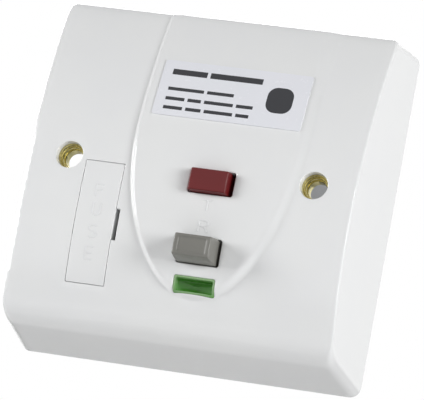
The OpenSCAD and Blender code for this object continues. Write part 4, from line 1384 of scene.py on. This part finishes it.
@dataclass
class FuseCarrier:
    """The draw-out carrier: a front that follows the face, a cradle that grips the fuse and two legs."""

    x: float = CARRIER_X
    z: float = CARRIER_Z
    width: float = 9.52
    height: float = 29.42
    thick: float = 3.4
    fuse_y: float = -24.7607
    grip_r: float = 3.075
    mouth: float = 5.55
    cradle_len: float = 12.0
    leg: tuple[float, float, float] = (6.4, 1.2, -14.0)

    def make(self, face: HeightMap, slab_back: float) -> bpy.types.Object:
        """Builds the carrier as closed shells.

        Args:
            face: Gives the depth of the plate's plain face.
            slab_back: Y of the back of its front.

        Returns:
            The finished object.
        """
        shaper = Shaper()
        loop = lambda cut, r: even_rect(self.x, self.z, self.width - 2 * cut, self.height - 2 * cut, r, 5, 20)
        rings = [at_depth(loop(0.15, 0.2), slab_back)]
        rings.append(at_depth(loop(0, 0.25), slab_back - 0.15))
        for cut, drop in ((0.0, 0.14), (0.03, 0.05), (0.08, 0.01), (0.14, 0.0)):
            rings.append(with_depth(loop(cut, 0.22), lambda flat: face(flat) + drop))
        shaper.walls(rings)
        shaper.cap(rings[0])
        shaper.sheet(Sheet(loop(0.14, 0.22), [], [], 1.2).net(), face)
        self.add_cradle(shaper, slab_back)
        w, t, end = self.leg
        for side in (-1, 1):
            z = self.z + side * (self.height - t) / 2
            shaper.prism(round_rect(self.x, z, w, t, 0.2, 3), slab_back - 0.2, end)
        return finish_object(shaper.mesh, "carrier_moulding", Finish.PLATE)

    def add_cradle(self, shaper: Shaper, slab_back: float) -> None:
        """Adds the cradle: one section in X and Y, drawn out along the fuse."""
        edge = math.degrees(math.asin(self.mouth / 2 / self.grip_r))
        arc = arc_line(self.x, self.fuse_y, self.grip_r, self.grip_r, 90 - edge, -270 + edge, 25)
        half, back = self.width / 2, self.fuse_y + 1.6
        mouth = self.mouth / 2
        section = [(self.x - half, slab_back - 0.2), (self.x - half, back), (self.x - mouth, back)]
        section += [tuple(p) for p in arc[::-1] if p[1] < back - 0.01]
        section += [(self.x + mouth, back), (self.x + half, back), (self.x + half, slab_back - 0.2)]
        ends = [self.z - self.cradle_len / 2, self.z + self.cradle_len / 2]
        rings = [np.array([(px, py, z) for px, py in section]) for z in ends]
        shaper.walls(rings)
        for ring in rings:
            shaper.cap(ring)


@dataclass
class FixingEyelets:
    """The two turned brass eyelets that take the fixing screws."""

    fixing_x: float = FIXING_X
    front: float = -29.0
    length: float = 6.0
    outer_r: float = 3.3
    step_r: float = 2.95
    bore_r: float = 2.3

    def make(self) -> bpy.types.Object:
        """Turns both eyelets.

        Returns:
            The finished object.
        """
        shaper = Shaper()
        y0, y1 = self.front, self.front + self.length
        first, second = y0 + 1.3, y0 + 2.6
        middle_r = (self.step_r + self.bore_r) / 2
        profile = [(self.outer_r - 0.12, y0), (self.outer_r, y0 + 0.12), (self.outer_r, y1 - 0.2),
                   (self.outer_r - 0.2, y1), (self.bore_r + 0.25, y1), (self.bore_r, y1 - 0.25),
                   (self.bore_r, second + 0.3), (self.bore_r + 0.05, second + 0.1),
                   (self.bore_r + 0.15, second),
                   (middle_r - 0.06, second), (middle_r, second - 0.06), (middle_r, first + 0.25),
                   (middle_r + 0.05, first + 0.08), (middle_r + 0.13, first),
                   (self.step_r - 0.1, first), (self.step_r, first - 0.1), (self.step_r, y0 + 0.15),
                   (self.step_r + 0.12, y0)]
        for side in (-1, 1):
            shaper.spin(profile, side * self.fixing_x, 0, 72)
        return finish_object(shaper.mesh, "brass_eyelets", Finish.BRASS)


@dataclass
class LabelPrint:
    """Plain bars and a plain field, in place of what the label says.

    Attributes:
        start: Left end of the rows.
        head_z: Height of the heading.
        head_words: Lengths of its bars.
        rows: Height of each small row with the lengths of its bars.
        space: Gap between bars.
        field_at: Middle of the plain field.
        field_size: Its width and height.
        film: Thickness of the label.
    """

    start: float = -9.9
    head_z: float = 24.3
    head_words: tuple[float, ...] = (8.6, 13.0)
    rows: tuple[tuple[float, tuple[float, ...]], ...] = (
        (19.7, (8.9, 6.6)), (17.1, (4.7, 3.3, 7.1, 4.1)), (14.7, (4.7, 3.8, 7.0, 3.2)))
    space: float = 0.8
    field_at: tuple[float, float] = (17.7, 19.9)
    field_size: tuple[float, float] = (6.4, 6.8)
    film: float = 0.25

    def bars(self, z: float, words: Sequence[float]) -> list[np.ndarray]:
        """Gives one row's bars as open lines.

        Args:
            z: Height of the row.
            words: Lengths of its bars.

        Returns:
            The lines.
        """
        out, at = [], self.start
        for length in words:
            out.append(stroke((at, z), (at + length, z), step=1.0))
            at += length + self.space
        return out

    def field(self, face: HeightMap) -> bpy.types.Object:
        """Makes the plain dark field.

        Args:
            face: Gives the depth of the film's face.

        Returns:
            The finished object.
        """
        shaper = Shaper()
        loop = round_rect(*self.field_at, *self.field_size, 2.4, 10, 0.6)
        top = lambda flat: face(flat) - 0.02
        back = lambda flat: face(flat) + 0.04
        net = Sheet(loop, [], [], 0.8).net()
        shaper.sheet(net, top)
        shaper.sheet(net, back)
        shaper.walls([with_depth(loop, top), with_depth(loop, back)])
        return finish_object(shaper.mesh, "label_field", Finish.INK)


def cross_loop(width: float, length: float) -> np.ndarray:
    """Gives the outline of a cross with four equal arms."""
    w, r = width / 2, length / 2
    arm = [(w, w), (w, r), (-w, r)]
    turned = []
    for quarter in range(4):
        c, s = round(math.cos(quarter * math.pi / 2)), round(math.sin(quarter * math.pi / 2))
        turned += [(c * x - s * z, s * x + c * z) for x, z in arm]
    return fine_loop(np.array(turned), 0.5)


@dataclass
class Screws:
    """Equal screws: one is built, then set at every place.

    Attributes:
        name: Name of the piece.
        node: Node that it stands for.
        places: X and Z of each screw.
        shank: Radius, Y of the tip and Y under the head.
        head: Radius and Y of the top.
        recess: Outline of the recess for the driver.
        depth: Depth of that recess.
        draft: How far the recess narrows towards its floor.
        dome: How far the head's middle stands above its edge.
        pitch: Distance between the ridges of the thread.
    """

    name: str
    node: str
    places: tuple[tuple[float, float], ...]
    shank: tuple[float, float, float]
    head: tuple[float, float]
    recess: np.ndarray
    depth: float = 0.8
    draft: float = 0.08
    dome: float = 0.25
    pitch: float = 0.8

    def top(self, flat: np.ndarray) -> np.ndarray:
        """Gives the depth of the domed head with its recess."""
        away = np.hypot(flat[:, 0], flat[:, 1]) / self.head[0]
        within = inside(flat, self.recess)
        cut = smooth_step(loop_distance(flat, self.recess) / self.draft) * self.depth
        return self.head[1] - self.dome * away**2 - np.where(within, cut, 0)

    def one(self) -> bpy.types.Object:
        """Builds one screw on the line X = 0, Z = 0."""
        shaper = Shaper()
        (r, tip, under), (head_r, head_y) = self.shank, self.head
        rim = circle(0, 0, head_r - 0.3, 40)
        lines = [(self.recess, True), (grown(self.recess, -self.draft), True)]
        shaper.sheet(Sheet(rim, [], lines, 0.5).net(), self.top)
        turned = [(head_r - 0.1, head_y - 0.32), (head_r, head_y - 0.5),
                  (head_r, under + 0.1), (head_r - 0.1, under)]
        y, core = under, r - 0.28
        while y - self.pitch > tip + 0.3:
            turned += [(core, y), (core, y - self.pitch * 0.25),
                       (r, y - self.pitch * 0.5), (core, y - self.pitch * 0.75)]
            y -= self.pitch
        turned += [(core, y), (core, tip + 0.3), (core - 0.3, tip)]
        rings = [with_depth(rim, self.top)]
        rings += [at_depth(circle(0, 0, radius, 40), level) for radius, level in turned]
        shaper.walls(rings)
        shaper.cap(rings[-1])
        return finish_object(shaper.mesh, self.name + "_one", Finish.STEEL)

    def make(self) -> bpy.types.Object:
        """Sets the screw at its places.

        Returns:
            The finished piece.
        """
        screw = self.one()
        piece = line_object(self.name, [np.array([[x, 0.0, z]]) for x, z in self.places])
        pen = NodeGrower(self.name + "_tree", Finish.STEEL)
        model = pen.node("GeometryNodeObjectInfo", {"Object": pen.given("Screw", screw)})
        pen.run(pen.out("GeometryNodeInstanceOnPoints", {
            "Points": pen.start.outputs[0], "Instance": model.outputs["Geometry"]}), piece)
        bpy.data.objects.remove(screw)
        return piece


@dataclass
class RingWinding:
    """The transformer's winding: one turn of wire, repeated round the ring.

    Attributes:
        turns: Number of turns.
        wire_r: Radius of the wire.
        gap: Space between the wire and the box of the node that it stands for.
        bore_r: Radius of the ring's bore.
        bend_r: Radius of the turn's corners.
    """

    turns: int = 46
    wire_r: float = 0.27
    gap: float = 0.02
    bore_r: float = 4.0
    bend_r: float = 0.45

    def make(self) -> bpy.types.Object:
        """Winds the ring.

        Returns:
            The finished piece.
        """
        low, high = (np.array(corner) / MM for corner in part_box("transformer_winding"))
        centre, half = (low + high) / 2, (high - low) / 2
        inset = self.wire_r + self.gap
        inner, outer = self.bore_r + inset, half[0] - inset
        loop = round_rect((inner + outer) / 2, 0, outer - inner, 2 * (half[2] - inset), self.bend_r, 3, 1.2)
        piece = line_object("ring_turns", [at_depth(loop, 0.0)], closed=True)
        pen = NodeGrower("ring_turns_tree", Finish.WINDING)
        turns = pen.given("Turns", self.turns)
        wire_r = pen.given("Wire radius", self.wire_r * MM)
        middle = pen.given("Centre", tuple(float(v) * MM for v in centre))
        path = pen.out("GeometryNodeMeshToCurve", {"Mesh": pen.start.outputs[0]})
        turn = pen.wire(path, wire_r, 8, caps=False)
        spots = pen.out("GeometryNodeMeshLine",
                        {"Count": turns, "Start Location": middle, "Offset": (0, 0, 0)})
        step = pen.out("ShaderNodeMath", {0: math.tau, 1: turns}, operation="DIVIDE")
        angle = pen.out("ShaderNodeMath", {0: pen.out("GeometryNodeInputIndex"), 1: step},
                        operation="MULTIPLY")
        turned = pen.out("FunctionNodeEulerToRotation", {0: pen.out("ShaderNodeCombineXYZ", {"Z": angle})})
        spread = pen.out("GeometryNodeInstanceOnPoints",
                         {"Points": spots, "Instance": turn, "Rotation": turned})
        return pen.run(spread, piece)


@dataclass
class WireHelix:
    """Wire wound as one helix that fills the box of its node: a button's spring, or the coil.

    Attributes:
        name: Name of the piece.
        node: Node that it stands for.
        finish: Finish of the wire.
        slot: Material slot of the record.
        wire_r: Radius of the wire.
        steps: Steps of each round and round the wire.
        rounds: Number of rounds, or 0 for rounds that touch.
        along: Axis that it runs on, 1 for Y or 2 for Z.
        joint: Joint that presses it, or none.
        travel: Travel of that joint; not used.
    """

    name: str
    node: str
    finish: Finish
    slot: str
    wire_r: float
    steps: tuple[int, int]
    rounds: float = 0.0
    along: int = 1
    joint: str = ""
    travel: float = 0.0

    def make(self) -> bpy.types.Object:
        """Winds the wire.

        Returns:
            The finished piece.
        """
        low, high = (np.array(corner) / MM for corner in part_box(self.node))
        inset = self.wire_r + 0.01
        length = high[self.along] - low[self.along] - 2 * inset
        foot = (low + high) / 2
        foot[self.along] = low[self.along] + inset
        pen = NodeGrower(self.name + "_tree", self.finish)
        wire_r = pen.given("Wire radius", self.wire_r * MM)
        radius = pen.given("Radius", ((high[0] - low[0]) / 2 - inset) * MM)
        helix = pen.out("GeometryNodeCurveSpiral", {
            "Resolution": self.steps[0], "Start Radius": radius, "End Radius": radius,
            "Rotations": pen.given("Rounds", self.rounds or length / (2 * self.wire_r)),
            "Height": pen.given("Length", length * MM)})
        placed = pen.out("GeometryNodeTransform", {
            "Geometry": helix, "Rotation": (-math.pi / 2 if self.along == 1 else 0, 0, 0),
            "Translation": pen.given("Foot", tuple(float(v) * MM for v in foot))})
        return pen.run(pen.wire(placed, wire_r, self.steps[1]), line_object(self.name, []))

    def fit(self, piece: bpy.types.Object) -> None:
        """Gives the piece its own copy of its mesh."""
        low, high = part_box(self.node)
        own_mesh(piece)


@dataclass
class Camera:
    """The photograph's viewpoint, fitted to the plate's outline."""

    place: tuple[float, float, float] = (0.209433, -0.754640, -0.172662)
    right: tuple[float, float, float] = (0.9565, 0.2258, 0.18472)
    up: tuple[float, float, float] = (-0.12493, -0.25515, 0.9588)
    back: tuple[float, float, float] = (0.26363, -0.94017, -0.21584)
    lens: float = 278.19

    def make(self) -> None:
        """Adds the camera and makes it the scene's."""
        data = bpy.data.cameras.new("photo_camera")
        data.sensor_fit = "HORIZONTAL"
        data.sensor_width = 36
        data.lens = self.lens
        data.clip_end = 10
        turn = Matrix((self.right, self.up, self.back)).transposed().to_4x4()
        made = new_object("photo_camera", data)
        made.matrix_world = Matrix.Translation(self.place) @ turn
        bpy.context.scene.camera = made


@dataclass(frozen=True)
class SoftBox:
    """A soft lamp aimed at the object.

    Attributes:
        name: Name of the lamp.
        side: Angle to the right of the front, in degrees.
        rise: Angle above the level, in degrees.
        size: Its width and height, in metres.
        power: Its power in watts.
        away: Distance from the object, in metres.
    """

    name: str
    side: float
    rise: float
    size: tuple[float, float]
    power: float
    away: float = 0.9

    def make(self) -> None:
        """Adds the lamp."""
        data = bpy.data.lights.new(self.name, "AREA")
        data.shape = "RECTANGLE"
        data.size, data.size_y = self.size
        data.energy = self.power
        side, rise = math.radians(self.side), math.radians(self.rise)
        level = self.away * math.cos(rise)
        place = Vector((level * math.sin(side), -level * math.cos(side), self.away * math.sin(rise)))
        made = new_object(self.name, data)
        made.location = place
        made.rotation_euler = (Vector((0, -0.015, 0)) - place).to_track_quat("-Z", "Y").to_euler()


@dataclass
class Studio:
    """A pale floor, a white surround and soft lamps on both sides."""

    floor_z: float = -0.42
    floor_glow: float = 0.66
    surround: float = 0.11
    lamps: tuple[SoftBox, ...] = (
        SoftBox("left_box", -62, 8, (0.35, 0.4), 5.4),
        SoftBox("right_box", 62, 8, (0.35, 0.4), 5.6),
        SoftBox("back_box", -150, 25, (0.6, 0.6), 5.0),
    )

    def make_floor(self) -> None:
        """Adds the floor, shown white to the camera."""
        mesh = bmesh.new()
        bmesh.ops.create_grid(mesh, x_segments=8, y_segments=8, size=2.5)
        bmesh.ops.translate(mesh, verts=mesh.verts, vec=(0, 0, self.floor_z))
        data = bpy.data.meshes.new("floor")
        mesh.to_mesh(data)
        mesh.free()
        pen = NodePen("floor_white")
        pale = pen.ramp(pen.noise(pen.place(), 3, 2), [(0.2, (240, 240, 240)), (0.8, (244, 244, 244))])
        seen = pen.node("ShaderNodeLightPath").outputs["Is Camera Ray"]
        pen.shade(Base_Color=pale, Roughness=0.8, Emission_Color=WHITE,
                  Emission_Strength=pen.math("MULTIPLY", seen, self.floor_glow))
        data.materials.append(pen.material)
        new_object("floor", data)

    def make_world(self) -> None:
        """Sets a world that looks white and lights the object softly."""
        world = bpy.data.worlds.new("studio")
        world.use_nodes = True
        world.node_tree.nodes.clear()
        pen = NodeWriter(world.node_tree)
        path = pen.node("ShaderNodeLightPath")
        most = lambda first, second: pen.out("ShaderNodeMath", {0: first, 1: second}, operation="MAXIMUM")
        clear = most(path.outputs["Is Glossy Ray"], path.outputs["Is Transmission Ray"])
        strength = pen.node("ShaderNodeMapRange", {
            "Value": most(path.outputs["Is Camera Ray"], clear), "To Min": self.surround, "To Max": 1.0})
        sky = pen.out("ShaderNodeBackground", {"Color": WHITE, "Strength": strength.outputs["Result"]})
        pen.node("ShaderNodeOutputWorld", {"Surface": sky})
        bpy.context.scene.world = world

    def make(self) -> None:
        """Builds the floor, the world and the lamps."""
        bpy.context.scene.view_settings.view_transform = "Standard"
        self.make_floor()
        self.make_world()
        for lamp in self.lamps:
            lamp.make()


def add_marks(plate: FrontPlate, carrier: FuseCarrier) -> None:
    """Adds the moulded letters and the label's plain print.

    Args:
        plate: The front plate, for its curves.
        carrier: The fuse carrier, for the place of its word.
    """
    axis = (float(plate.axis[0]), float(plate.axis[1]))
    tongue_axis = (axis[0], axis[1] - plate.tongue_fade)
    stroke_w, rise, sink = 0.42, 0.11, 0.1
    word = []
    for letter, z in zip("FUSE", (-7.9, -12.45, -17.8, -23.0)):
        word += letter_lines(letter, carrier.x, z, 1.9, 3.0)
    signs = letter_lines("T", COLUMN_X, -8.4, 2.2, 2.6) + letter_lines("R", COLUMN_X, -13.5, 2.2, 2.8)
    for name, lines, face, centre, body in (
            ("fuse_word", word, plate.skin_y, axis, "fuse_carrier"),
            ("button_signs", signs, plate.smooth_face, tongue_axis, ROOT_BODY)):
        raised = SurfaceLines(name, Finish.MARK, stroke_w, rise, sink, centre)
        place_on(raised.make(lines, face), body, slot="plate")
    label = LabelPrint()
    film = lambda flat: plate.smooth_face(flat) - label.film
    small = [line for z, words in label.rows for line in label.bars(z, words)]
    for name, width, lines in (("label_rows", 0.9, small),
                               ("label_heading", 1.6, label.bars(label.head_z, label.head_words))):
        ink = SurfaceLines(name, Finish.INK, width, 0.02, 0.04, tongue_axis)
        place_on(ink.make(lines, film), ROOT_BODY, slot="label")
    place_on(label.field(film), ROOT_BODY, slot="label")


def dress_nodes() -> None:
    """Gives every carried-over node the finish of its slot in the record."""
    slots = {part["node"]: part["material_slot"] for part in frame["record"]["subparts"]}
    for name, node in frame["nodes"].items():
        finish = SLOT_FINISH[slots[name]]
        if name == "solenoid_coil":
            finish = Finish.COIL
        node.data.materials.clear()
        node.data.materials.append(finish.material())
    LOG.info("dressed %d nodes", len(frame["nodes"]))


def main() -> None:
    """Builds the scene in order."""
    logging.basicConfig(level=logging.INFO, format="%(name)s: %(message)s")
    Camera().make()
    Studio().make()
    dress_nodes()
    plate = FrontPlate()
    place_on(plate.make(), ROOT_BODY, "front_plate", slot="plate")
    test = PushButton(
        "test_cap", "test_button", Finish.RED, "red_plastic", TEST_Z, size=(9.4, 5.6), front=(9.2, 5.35),
        face=-34.6721, slope=2.0, edge=0.4, lip=(-28.6965, 1.0, 0.8), stem=(3.0, -17.1), shift=-0.3)
    reset = PushButton(
        "reset_cap", "reset_button", Finish.GREY, "grey_plastic", RESET_Z, size=(9.5, 6.1), front=(9.0, 5.2),
        face=-38.0726, slope=4.0, edge=0.42, lip=(-28.9225, 1.0, 1.0), stem=(3.4, -9.2), shift=-0.25,
        panel=(7.2, 4.0, 0.22))
    for button in (test, reset):
        place_on(button.make(), button.node, button.node, slot=button.slot)
    place_on(LensTray().make(plate.smooth_face), ROOT_BODY, "indicator_window", slot="green_lens")
    carrier = FuseCarrier()
    slab_back = float(plate.skin_y(np.array([[carrier.x, carrier.z]]))[0]) + carrier.thick
    place_on(carrier.make(plate.skin_y, slab_back), "fuse_carrier", "fuse_carrier", slot="plate")
    place_on(FixingEyelets().make(), ROOT_BODY, "fixing_eyelets", slot="brass")
    add_marks(plate, carrier)
    corners = tuple((x, z) for x in (-POST_X, POST_X) for z in (-SCREW_Z, SCREW_Z))
    ways = tuple((x, z) for x in TERMINAL_X for z in (-SCREW_Z, SCREW_Z))
    slot = fine_loop(np.array([(-0.4, -2.0), (0.4, -2.0), (0.4, 2.0), (-0.4, 2.0)]), 0.5)
    for screws in (
            Screws("housing_screw_set", "housing_screws", corners, shank=(1.38, -19.4, -9.5),
                   head=(2.52, -7.7), recess=cross_loop(0.6, 2.8)),
            Screws("terminal_screw_set", "terminal_screws", ways, shank=(1.75, 14.3, 16.2),
                   head=(2.5, 17.9), recess=slot)):
        place_on(screws.make(), ROOT_BODY, screws.node, slot="steel")
    place_on(RingWinding().make(), ROOT_BODY, "transformer_winding", slot="winding")
    for helix in (
            WireHelix("coil_turns", "solenoid_coil", Finish.COIL, "winding", 0.15, (28, 8), along=2),
            WireHelix("test_return", "test_spring", Finish.STEEL, "steel", 0.2, (32, 10), 6.0,
                      joint="test_press", travel=1.2),
            WireHelix("reset_return", "reset_spring", Finish.STEEL, "steel", 0.2, (32, 10), 7.0,
                      joint="reset_press", travel=3.5)):
        wound = helix.make()
        place_on(wound, ROOT_BODY, helix.node, slot=helix.slot)
        if helix.joint:
            helix.fit(wound)


if __name__ == "__main__":
    main()
